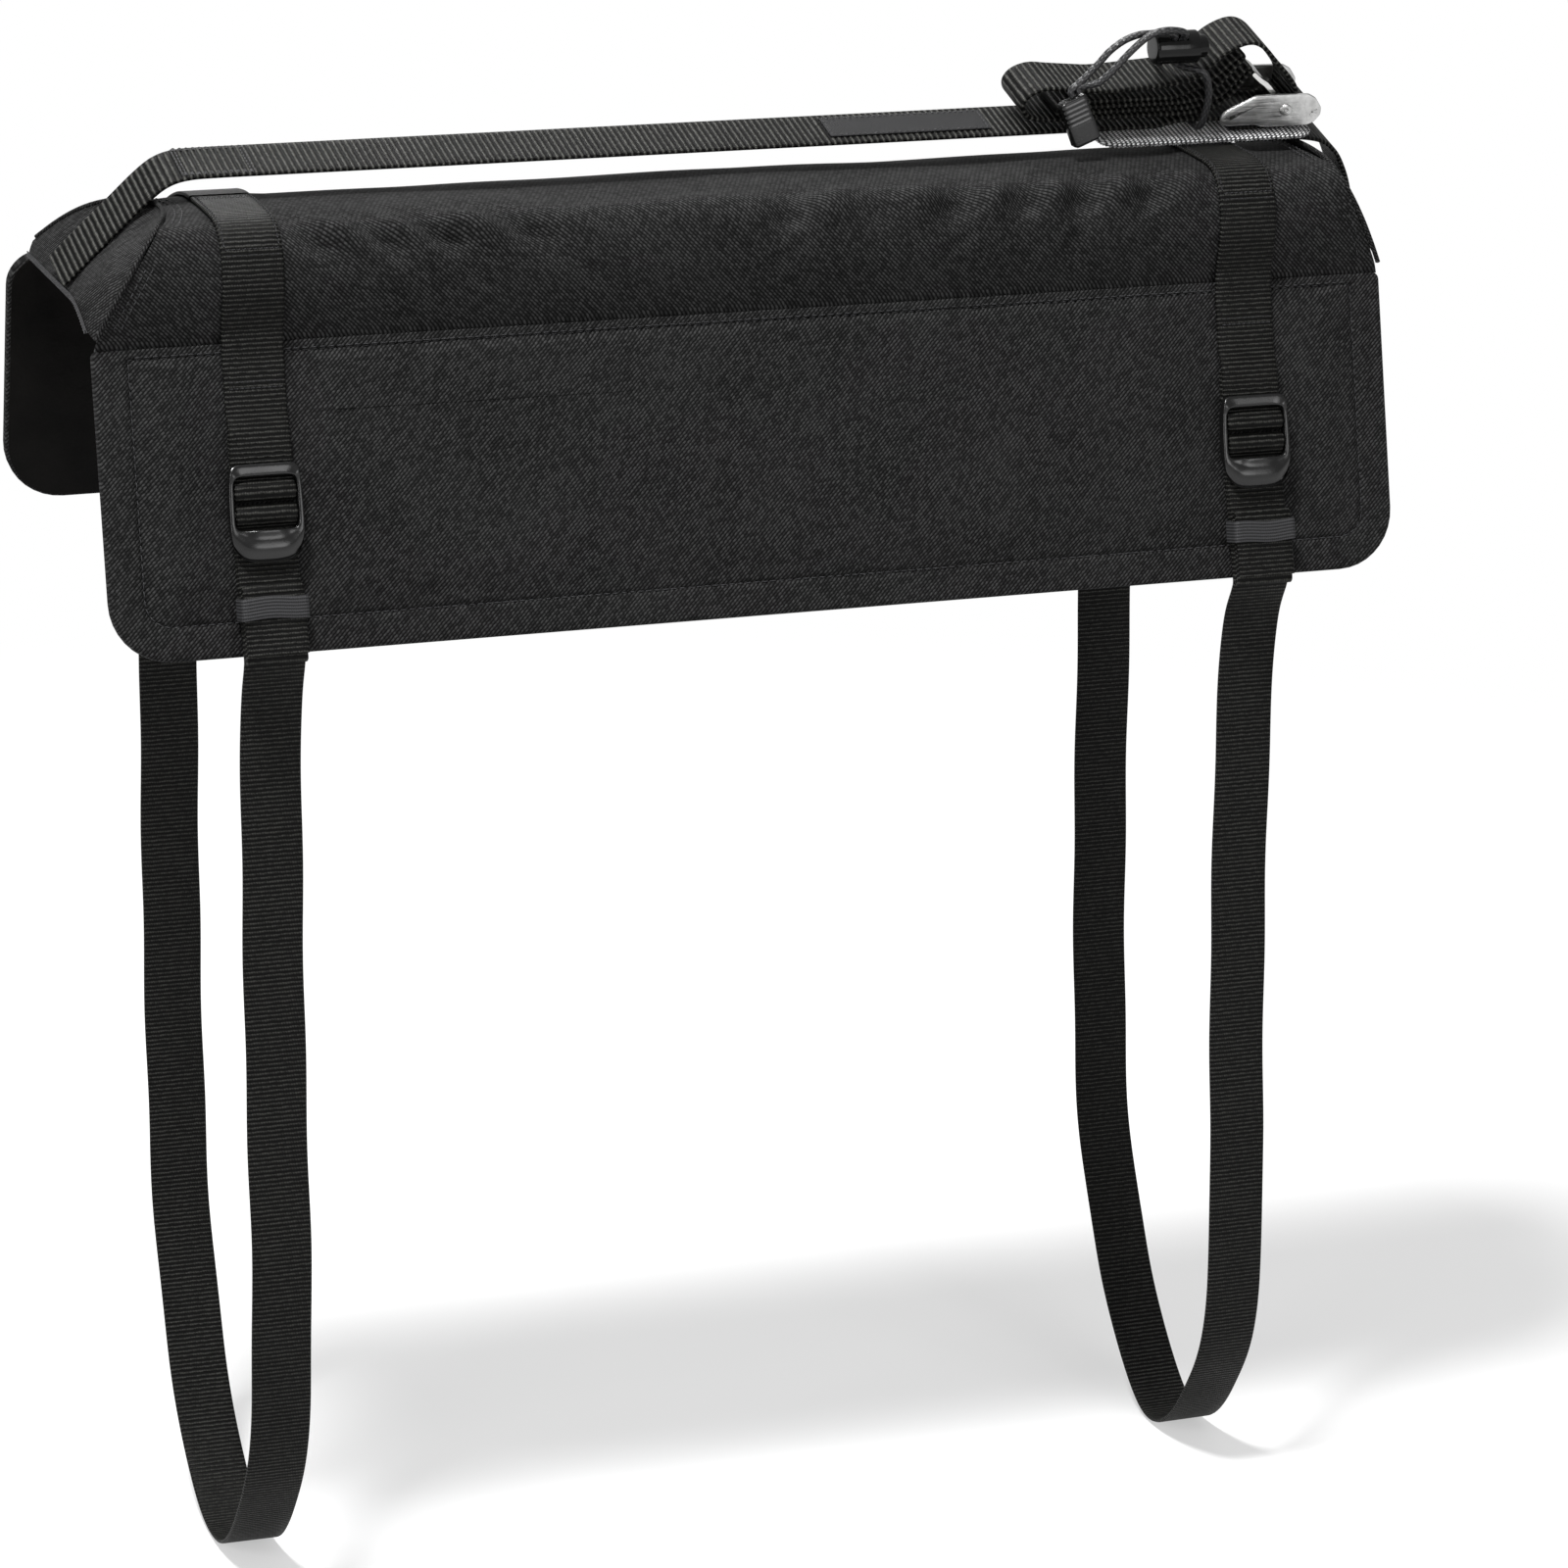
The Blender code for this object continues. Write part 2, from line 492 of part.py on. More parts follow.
def make_tailgate_strap(side_name, side, loop_points, loop_drift):
    """Buckle strap, ladder-lock, tailgate strap with its loop and folded tail, and keeper."""
    x = side * STRAP_X
    half = WEB_THICKNESS / 2
    flat = CLEARANCE + half
    pitch = WEB_THICKNESS + 0.0004
    wrap = BAR_SIZE / 2 + CLEARANCE + half
    layer = flat + pitch
    across = (1.0, 0.0, 0.0)

    def placed(points, shift=None):
        points = drop_repeats(points)
        lateral = np.full(len(points), x) if shift is None else x + shift(points)
        return np.column_stack([lateral, points])

    upper = (UPPER_BAR_DROP, BAR_STANDOFF)
    sewn = on_flap(FRONT_FLAP, [(0.006, flat), (0.018, flat), (0.030, flat)])
    ramp = on_flap(FRONT_FLAP, [(0.037, layer), (0.046, layer), (BUCKLE_TOP + BAND_HEIGHT + 0.0003, layer),
                                (UPPER_BAR_DROP - 0.0028, 0.0062)])
    turn = on_flap(FRONT_FLAP, arc(upper, wrap, 90, -90, 7))
    back = on_flap(FRONT_FLAP, [(UPPER_BAR_DROP - 0.006, flat), (0.046, flat), (0.0385, flat)])
    over = strap_on_roll(0.53, 0.03)
    path = np.vstack([over, sewn, ramp, turn, back])
    add_strip(side_name + "_buckle_strap", placed(path), across, WEB_WIDTH, WEB_THICKNESS, WEBBING)

    def lift(drop):
        share = np.clip((np.asarray(drop) - 0.088) / 0.010, 0.0, 1.0)
        return 0.0016 * share * share * (3 - 2 * share)

    def layered(points):
        points = np.array(points, dtype=float)
        points[:, 1] += lift(points[:, 0])
        return on_flap(FRONT_FLAP, points)

    rear_run = on_flap(REAR_FLAP, [(0.006, flat), (0.030, flat), (0.060, flat), (0.090, flat),
                                   (REAR_FLAP_HEIGHT, flat)])
    front_low = layered([(FRONT_FLAP_HEIGHT + 0.002, flat)])[0]
    hang = [(y, -LOOP_DEPTH * share) for y, share in loop_points]
    loop = smooth_curve([tuple(rear_run[-1]), *hang, tuple(front_low)], 0.018)
    lower = (LOWER_BAR_DROP, BAR_STANDOFF)
    climb = layered([(0.112, flat), (0.100, flat), (0.088, flat), (LOWER_BAR_DROP + 0.003, flat)])
    turn = on_flap(FRONT_FLAP, arc(lower, wrap, 270, 90, 9))
    tail = layered([(LOWER_BAR_DROP + 0.0028, 0.0062), (LOWER_BAR_DROP + 0.0048, 0.0040),
                    (LOWER_BAR_DROP + 0.0080, layer), (0.088, layer), (0.098, layer), (0.1275, layer)])
    fold = pitch / 2 + 0.0001
    low_turn = layered(arc((0.1275, layer + fold), fold, -90, 90, 6)[1:])
    rise = layered([(0.112, layer + 2 * fold), (0.0995, layer + 2 * fold)])
    high_turn = layered(arc((0.0995, layer + 3 * fold), fold, 270, 90, 6)[1:])
    ending = layered([(0.112, layer + 4 * fold), (0.1255, layer + 4 * fold)])
    over = strap_on_roll(0.545, 1.0)
    path = np.vstack([over, rear_run[:-1], loop, climb, turn, tail, low_turn, rise, high_turn, ending])

    def drift(points):
        hang_share = np.clip((-points[:, 1] - 0.15) / 0.40, 0.0, 1.0)
        return loop_drift * hang_share ** 2

    add_strip(side_name + "_tailgate_strap", placed(path, drift), across, WEB_WIDTH, WEB_THICKNESS, WEBBING)
    make_ladder_lock(side_name, x)

    low = flat + 0.0016 - half - CLEARANCE - KEEPER_THICKNESS / 2
    high = layer + 4 * fold + 0.0016 + half + CLEARANCE + KEEPER_THICKNESS / 2
    reach = WEB_WIDTH / 2 + CLEARANCE + KEEPER_THICKNESS / 2
    corner = 0.0012
    middle = KEEPER_DROP + KEEPER_WIDTH / 2
    outline = np.vstack([arc((reach - corner, low + corner), corner, -90, 0, 4),
                         arc((reach - corner, high - corner), corner, 0, 90, 4),
                         arc((-reach + corner, high - corner), corner, 90, 180, 4),
                         arc((-reach + corner, low + corner), corner, 180, 270, 4)])
    place = on_flap(FRONT_FLAP, np.column_stack([np.full(len(outline), middle), outline[:, 1]]))
    ring = np.column_stack([outline[:, 0] + x, place])
    down = (0.0, *FRONT_FLAP[1])
    add_strip(side_name + "_tail_keeper", ring, down, KEEPER_WIDTH, KEEPER_THICKNESS, ELASTIC, closed=True)


def flap_prism(name, x0, x1, profile, finish):
    """Block with a (drop, standoff) profile, between two places along X."""
    place = on_flap(FRONT_FLAP, profile)
    rings = [np.column_stack([np.full(len(place), x), place]) for x in (x0, x1)]
    return add_loft(name, rings, finish, smooth=False)


def make_ladder_lock(side_name, x):
    """Moulded frame: top band, two rails, two bars and the thumb lip."""
    inner = WEB_WIDTH / 2 + CLEARANCE + 0.0001
    outer = inner + RAIL_THICKNESS
    sink = 0.0006
    top, bottom = BUCKLE_TOP, LIP_TOP + 0.0045
    rail = [(top, BAND_STANDOFF - 0.0015), (top + 0.004, RAIL_BACK), (bottom - 0.003, RAIL_BACK),
            (bottom, RAIL_BACK + 0.002), (bottom, RAIL_FRONT), (top + 0.003, BAND_FRONT - 0.0004),
            (top, BAND_FRONT - 0.0014)]
    left = flap_prism(side_name + "_ladder_lock", x - outer, x - inner, rail, PLASTIC)
    right = flap_prism(side_name + "_rail", x + inner, x + outer, rail, PLASTIC)
    band_low = top + BAND_HEIGHT
    band_top = top + 0.0002
    band = [(band_top, BAND_STANDOFF + 0.0006), (band_top + 0.0006, BAND_STANDOFF), (band_low, BAND_STANDOFF),
            (band_low, BAND_FRONT - 0.0010), (band_low - 0.0010, BAND_FRONT), (band_top + 0.0012, BAND_FRONT),
            (band_top, BAND_FRONT - 0.0012)]
    tools = [right, flap_prism(side_name + "_band", x - inner - sink, x + inner + sink, band, PLASTIC)]
    reach = BAR_SIZE / 2
    for label, drop in (("upper_bar", UPPER_BAR_DROP), ("lower_bar", LOWER_BAR_DROP)):
        section = arc((drop, BAR_STANDOFF), reach, 22.5, 382.5, 9)[:-1]
        bar_name = side_name + "_" + label
        tools.append(flap_prism(bar_name, x - inner - sink, x + inner + sink, section, PLASTIC))
    lip = [(LIP_TOP, 0.0152, BAND_STANDOFF, 0.0084), (LIP_TOP + 0.003, 0.0150, BAND_STANDOFF, 0.0074),
           (LIP_TOP + 0.0065, 0.0138, BAND_STANDOFF + 0.0004, 0.0076),
           (LIP_TOP + 0.0100, 0.0114, BAND_STANDOFF + 0.0012, 0.0090),
           (LIP_TOP + 0.0118, 0.0094, BAND_STANDOFF + 0.0024, 0.0094)]
    rings = []
    for drop, reach, low, high in lip:
        soft = 0.0009
        loop = [(-reach, low + soft), (-reach + soft, low), (reach - soft, low), (reach, low + soft),
                (reach, high - soft), (reach - 2 * soft, high), (-reach + 2 * soft, high),
                (-reach, high - soft)]
        place = on_flap(FRONT_FLAP, [(drop, out) for _, out in loop])
        rings.append(np.column_stack([[x + across for across, _ in loop], place]))
    tools.append(add_loft(side_name + "_lip", rings, PLASTIC, smooth=False))
    for tool in tools:
        apply_boolean(left, tool, "UNION")


CINCH_ACROSS = np.array([0.0, math.cos(CINCH_TILT), math.sin(CINCH_TILT)])
CINCH_OUT = np.array([0.0, -math.sin(CINCH_TILT), math.cos(CINCH_TILT)])
CINCH_BASE = np.array([0.0, 0.0, CINCH_HEIGHT])


def in_cinch(x, across, height):
    """Point given along X, across the cinch strap, and by its height square to the strap."""
    return np.array([x, 0.0, 0.0]) + CINCH_BASE + across * CINCH_ACROSS + (height - CINCH_HEIGHT) * CINCH_OUT


def on_cinch(points):
    """(x, height) pairs on the cinch strap's middle line as points in space."""
    return np.array([in_cinch(x, 0.0, height) for x, height in points])


def cinch_path():
    """Centre line of the cinch strap from its anchor, through the buckle, to the folded tail."""
    run = CINCH_HEIGHT
    inside = BUCKLE_STRAP_HEIGHT
    start = smooth_curve([(-0.2815, 0.0, 0.0060), (-0.2712, 0.0, 0.0160), (-0.2580, 0.0, 0.0282),
                          (-0.2460, 0.0, 0.0393), (-0.2380, 0.0, 0.0449), (-0.2290, 0.0, run - 0.0004),
                          (-0.2150, 0.0, run)], 0.004)
    level = [(-0.150, run), (-0.080, run), (0.0, run), (0.080, run), (0.150, run), (0.190, run)]
    entry = smooth_curve([(0.193, run + 0.0001), (0.198, run + 0.0013), (0.204, run + 0.0024),
                          (0.215, run + 0.0024), (0.224, inside + 0.0002), (0.232, inside)], 0.005)
    cam_side = PIN_X + 0.0052
    bend = np.vstack([[(0.249, inside)], arc((cam_side - 0.0026, inside + 0.0026), 0.0026, -80, 0, 5)])
    pitch = STACK_PITCH
    base = run + STACK_STANDOFF
    turn = pitch / 2
    arch = smooth_curve([(cam_side, inside + 0.0030), (0.2550, 0.0612), (0.2505, 0.0680), (0.2435, 0.0752),
                         (0.2360, 0.0828), (0.2290, 0.0850), (0.2200, 0.0815), (0.2120, 0.0745),
                         (0.2070, 0.0698), (0.1975, 0.0675), (0.1845, 0.0665), (0.1685, 0.0655),
                         (0.1600, 0.0660), (0.1480, 0.0672), (0.1390, 0.0680), (0.1320, 0.0655),
                         (0.1292, 0.0607), (0.1318, 0.0558), (0.1385, base + 0.0004), (0.1465, base)], 0.0042)
    first = smooth_curve([(0.2040, base), (0.2120, 0.0540), (0.2180, 0.0560), (0.2225, 0.0590),
                          (0.2262, 0.0630), (0.2295, 0.0680), (0.2318, 0.0715)], 0.005)
    second = smooth_curve([(0.2296, 0.0729), (0.2268, 0.0693), (0.2238, 0.0652), (0.2200, 0.0614),
                           (0.2150, 0.0583), (0.2080, 0.0562), (0.2020, base + pitch)], 0.005)
    third = smooth_curve([(0.2010, base + 2 * pitch), (0.2075, 0.0593), (0.2130, 0.0622), (0.2175, 0.0658),
                          (0.2210, 0.0698), (0.2245, 0.0742), (0.2275, 0.0775)], 0.005)
    fourth = smooth_curve([(0.2255, 0.0793), (0.2215, 0.0757), (0.2175, 0.0717), (0.2130, 0.0680),
                           (0.2085, 0.0648), (0.2035, 0.0630), (0.1975, base + 3 * pitch)], 0.005)
    folds = [[(0.170, base)], first, arc((0.2307, 0.0722), turn, -33, 147, 6)[1:-1],
             second, [(0.170, base + pitch)], arc((0.1465, base + pitch + turn), turn, 270, 90, 6),
             [(0.170, base + 2 * pitch)], third, arc((0.2265, 0.0784), turn, -42, 138, 6)[1:-1],
             fourth, [(0.170, base + 3 * pitch), (0.1535, base + 3 * pitch)]]
    leaned = np.vstack([level, entry, bend, arch] + [np.array(f) for f in folds])
    return np.vstack([start, on_cinch(leaned)])


def make_cinch():
    """Cinch strap, its label, the buckle pad and the two webs that carry the buckle."""
    path = drop_repeats(cinch_path())
    add_strip("cinch_strap", path, CINCH_ACROSS, WEB_WIDTH, WEB_THICKNESS, HEAVY_WEBBING)
    height = CINCH_HEIGHT + WEB_THICKNESS / 2 + CLEARANCE + LABEL_THICKNESS / 2
    ends = [(LABEL_LEFT + LABEL_LENGTH * share, height) for share in (0.0, 0.5, 1.0)]
    add_strip("strap_label", on_cinch(ends), CINCH_ACROSS, LABEL_WIDTH, LABEL_THICKNESS, WOVEN_LABEL)

    half = WEB_THICKNESS / 2
    web_height = PAD_STRIP_TOP + CLEARANCE + half
    wrap = ANCHOR_BAR_RADIUS + CLEARANCE + half
    bar = (ANCHOR_BAR_X, ANCHOR_BAR_HEIGHT)
    resting = [(0.2270, web_height), (0.240, web_height), (0.250, web_height), (0.2560, web_height + 0.0009)]
    path = np.vstack([resting, arc(bar, wrap, -95, 200, 12)])
    add_strip("buckle_web", on_cinch(path), CINCH_ACROSS, WEB_WIDTH, WEB_THICKNESS, WEBBING)

    corner = 0.008
    reach = PAD_STRIP_WIDTH / 2
    left, right = PAD_STRIP_LEFT, PAD_STRIP_RIGHT
    outline = np.vstack([arc((right - corner, -reach + corner), corner, -90, 0, 5),
                         arc((right - corner, reach - corner), corner, 0, 90, 5),
                         arc((left + corner, reach - corner), corner, 90, 180, 5),
                         arc((left + corner, -reach + corner), corner, 180, 270, 5)])
    thick = PAD_STRIP_THICKNESS
    middle = np.array([(left + right) / 2, 0.0])
    size = np.array([(right - left) / 2, reach])
    rings = []
    for drop, inset in ((0.0, 0.0010), (0.0010, 0.0), (0.45 * thick, 0.0), (thick, 0.0030)):
        inner = middle + (outline - middle) * (size - inset) / size
        rings.append([in_cinch(x, across, PAD_STRIP_TOP - drop) for x, across in inner])
    add_loft("buckle_pad", rings, GREY_KNIT)

    under = on_cinch([(x, PAD_STRIP_TOP - thick - CLEARANCE - half) for x in (0.2305, 0.240, 0.250, 0.259)])
    descent = [(0.2705, 0.0022, 0.0370), (0.2775, 0.0018, 0.0318), (0.2822, 0.0012, 0.0225),
               (0.2846, 0.0006, 0.0130), (0.2856, 0.0, 0.0045)]
    path = smooth_curve(np.vstack([under, descent]), 0.005)
    add_strip("pad_anchor_web", path, CINCH_ACROSS, WEB_WIDTH, WEB_THICKNESS, WEBBING)


def cinch_prism(name, profile, near, far, finish, smooth=False):
    """Block with an (x, height) profile, between two places across the strap."""
    rings = [[in_cinch(x, across, height) for x, height in profile] for across in (near, far)]
    return add_loft(name, rings, finish, smooth=smooth)


def make_cam_buckle():
    """Die-cast frame, toothed lever, rivet pin and torsion spring."""
    inside = FRAME_INSIDE / 2
    outside = inside + SIDE_PLATE_THICKNESS
    plate = [(0.2201, 0.0507), (0.2210, 0.0532), (0.2240, 0.0553), (0.2360, 0.0612), (0.2598, 0.0608),
             (0.2634, 0.0588), (0.2668, 0.0540), (0.2669, 0.0509), (0.2646, 0.0476), (0.2613, 0.0460),
             (0.2402, 0.0461), (0.2365, 0.0474), (0.2300, 0.0475), (0.2240, 0.0473), (0.2212, 0.0483)]
    frame = cinch_prism("cam_buckle_frame", plate, -outside, -inside, CAST_METAL)
    tools = [cinch_prism("far_plate", plate, inside, outside, CAST_METAL)]
    sink = 0.0005
    floor_top = BUCKLE_STRAP_HEIGHT - WEB_THICKNESS / 2 - CLEARANCE
    floor = [(0.2275, floor_top - 0.0012), (0.2470, floor_top - 0.0012), (0.2480, floor_top - 0.0006),
             (0.2470, floor_top), (0.2275, floor_top), (0.2265, floor_top - 0.0006)]
    tools.append(cinch_prism("base_plate", floor, -inside - sink, inside + sink, CAST_METAL))
    bar = arc((ANCHOR_BAR_X, ANCHOR_BAR_HEIGHT), ANCHOR_BAR_RADIUS, 0, 360, 13)[:-1]
    tools.append(cinch_prism("anchor_bar", bar, -inside - sink, inside + sink, CAST_METAL))
    for tool in tools:
        apply_boolean(frame, tool, "UNION")
    hole = arc((PIN_X, PIN_HEIGHT), PIN_RADIUS + CLEARANCE, 0, 360, 17)[:-1]
    pin_hole = cinch_prism("pin_hole", hole, -outside - 0.002, outside + 0.002, CAST_METAL)
    apply_boolean(frame, pin_hole, "DIFFERENCE")

    teeth = []
    for angle in np.arange(225.0, 320.0, 19.0):
        teeth.append((angle, CAM_RADIUS))
        teeth.append((angle + 10.0, CAM_RADIUS - 0.0005))
    hub = teeth + [(angle, CAM_RADIUS) for angle in (335.0, 0.0, 35.0, 70.0)]
    outline = []
    for angle, radius in hub:
        turn = math.radians(angle)
        outline.append((PIN_X + radius * math.cos(turn), PIN_HEIGHT + radius * math.sin(turn)))
    blade = [(PIN_X - 0.0022, PIN_HEIGHT + 0.0046), (PIN_X - 0.0072, PIN_HEIGHT + 0.0102),
             (PIN_X - 0.0112, PIN_HEIGHT + 0.0130), (PIN_X - 0.0146, PIN_HEIGHT + 0.0158)]
    thick = LEVER_THICKNESS
    under = [(PIN_X - 0.0158, PIN_HEIGHT + 0.0146), (PIN_X - 0.0122, PIN_HEIGHT + 0.0130 - thick),
             (PIN_X - 0.0086, PIN_HEIGHT + 0.0102 - thick), (PIN_X - 0.0040, PIN_HEIGHT + 0.0030)]
    lever_outline = outline + blade + under + [(PIN_X - CAM_RADIUS, PIN_HEIGHT)]
    reach = inside - 0.0012
    lever = cinch_prism("cam_lever", lever_outline, -reach, reach, CAST_METAL)
    bore = arc((PIN_X, PIN_HEIGHT), PIN_RADIUS + CLEARANCE, 0, 360, 17)[:-1]
    apply_boolean(lever, cinch_prism("lever_bore", bore, -inside, inside, CAST_METAL), "DIFFERENCE")
    pocket = arc((PIN_X, PIN_HEIGHT), CAM_RADIUS + 0.0008, 0, 360, 17)[:-1]
    room = 6.4 * SPRING_WIRE
    spring_room = cinch_prism("spring_room", pocket, inside - 0.0012 - room, inside, CAST_METAL)
    apply_boolean(lever, spring_room, "DIFFERENCE")
    set_origin(lever, in_cinch(PIN_X, 0.0, PIN_HEIGHT))

    section = [(0.0, -outside - PIN_HEAD_LENGTH), (PIN_HEAD_RADIUS * 0.8, -outside - PIN_HEAD_LENGTH),
               (PIN_HEAD_RADIUS, -outside - PIN_HEAD_LENGTH * 0.6), (PIN_HEAD_RADIUS, -outside - CLEARANCE),
               (PIN_RADIUS, -outside - CLEARANCE)]
    section += [(r, -along) for r, along in reversed(section)]
    centre = in_cinch(PIN_X, 0.0, PIN_HEIGHT)
    turned("cam_pin", section, centre, CINCH_ACROSS, np.array([1.0, 0.0, 0.0]), 12, STEEL)

    turns, per_turn = 4, 10
    angles = np.arange(turns * per_turn + 1) * 2 * math.pi / per_turn
    radius = PIN_RADIUS + CLEARANCE + SPRING_WIRE / 2
    start = inside - 0.0009 - room + SPRING_WIRE
    advance = start + (room - 1.4 * SPRING_WIRE) * angles / angles[-1]
    path = centre + np.outer(radius * np.cos(angles), (1, 0, 0))
    path += np.outer(radius * np.sin(angles), CINCH_OUT)
    path += np.outer(advance, CINCH_ACROSS)
    add_tube("cam_spring", path, SPRING_WIRE / 2, 6, STEEL)


def turned(name, section, centre, axis, start, sides, finish):
    """Turned solid from (radius, along) points, whose first and last points lie on the axis."""
    axis = np.asarray(axis, dtype=float)
    third = np.cross(axis, start)
    angles = np.linspace(0.0, 2 * math.pi, sides, endpoint=False)
    spokes = np.outer(np.cos(angles), start) + np.outer(np.sin(angles), third)
    points = [centre + section[0][1] * axis]
    for radius, along in section[1:-1]:
        points.extend(centre + along * axis + radius * spokes)
    points.append(centre + section[-1][1] * axis)
    faces = []
    rows = len(section) - 2
    for i in range(sides):
        j = (i + 1) % sides
        faces.append((0, 1 + i, 1 + j))
        last = 1 + (rows - 1) * sides
        faces.append((len(points) - 1, last + j, last + i))
        for row in range(rows - 1):
            a = 1 + row * sides
            faces.append((a + i, a + sides + i, a + sides + j, a + j))
    return add_solid(name, points, faces, finish)


def add_tube(name, path, radius, sides, finish):
    """Round tube along a path, with turning-free sections and flat ends."""
    path = np.asarray(path, dtype=float)
    tangent = np.gradient(path, axis=0)
    tangent /= np.linalg.norm(tangent, axis=1)[:, None]
    normal = np.cross(tangent[0], (0.0, 0.0, 1.0))
    if np.linalg.norm(normal) < 0.1:
        normal = np.cross(tangent[0], (1.0, 0.0, 0.0))
    angles = np.linspace(0.0, 2 * math.pi, sides, endpoint=False)
    rings = []
    for point, way in zip(path, tangent):
        normal = normal - way * np.dot(normal, way)
        normal /= np.linalg.norm(normal)
        side = np.cross(way, normal)
        rings.append(point + radius * (np.outer(np.cos(angles), normal) + np.outer(np.sin(angles), side)))
    return add_loft(name, rings, finish)


def lock_hole_direction():
    """Direction of the cord hole through the lock, from its near top to its far bottom."""
    return np.array([0.0, math.sin(LOCK_HOLE_TURN), -math.cos(LOCK_HOLE_TURN)])


def make_cord_lock():
    """Barrel, sliding plunger and spring of the cord lock."""
    centre = np.array([0.0, LOCK_Y, LOCK_Z])
    right = LOCK_LEFT + LOCK_LENGTH
    bore = LOCK_RADIUS - LOCK_WALL
    floor = LOCK_LEFT + LOCK_FLOOR
    axis = (1.0, 0.0, 0.0)
    spoke = (0.0, 1.0, 0.0)
    shell = [(0.0, LOCK_LEFT), (LOCK_RADIUS - 0.0012, LOCK_LEFT), (LOCK_RADIUS, LOCK_LEFT + 0.0012),
             (LOCK_RADIUS, right - 0.0008), (LOCK_RADIUS - 0.0008, right), (bore, right), (bore, floor),
             (0.0, floor)]
    barrel = turned("cord_lock_barrel", shell, centre, axis, spoke, 20, PLASTIC)
    button_end = right + PLUNGER_STANDOUT
    foot = floor + LOCK_SPRING_ROOM
    stem = bore - CLEARANCE
    body = [(0.0, foot), (stem, foot), (stem, button_end - 0.0010), (stem - 0.0010, button_end),
            (0.0, button_end)]
    plunger = turned("cord_lock_plunger", body, centre, axis, spoke, 20, PLASTIC)

    way = lock_hole_direction()
    side = np.cross(way, (1.0, 0.0, 0.0))
    gap = CORD_DIAMETER / 2 + CLEARANCE
    first, last = LOCK_STRAND_X
    spans = ((barrel, "barrel_hole", first - gap, last + gap),
             (plunger, "plunger_hole", first - gap, last + gap + PLUNGER_TRAVEL + CLEARANCE))
    for target, name, low, high in spans:
        rings = []
        for along in (-0.012, 0.012):
            ring = [centre + along * way + across * side + np.array([x, 0.0, 0.0])
                    for x, across in ((low, -gap), (high, -gap), (high, gap), (low, gap))]
            rings.append(ring)
        apply_boolean(target, add_loft(name, rings, PLASTIC, smooth=False), "DIFFERENCE")

    turns, per_turn = 4, 10
    wire = SPRING_WIRE / 2
    angles = np.arange(turns * per_turn + 1) * 2 * math.pi / per_turn
    low = floor + CLEARANCE + wire
    along = low + (foot - low - CLEARANCE - wire) * angles / angles[-1]
    radius = bore - 0.0018
    path = np.column_stack([along, LOCK_Y + radius * np.cos(angles), LOCK_Z + radius * np.sin(angles)])
    add_tube("cord_lock_spring", path, wire, 6, STEEL)
    set_origin(plunger, (foot, LOCK_Y, LOCK_Z))


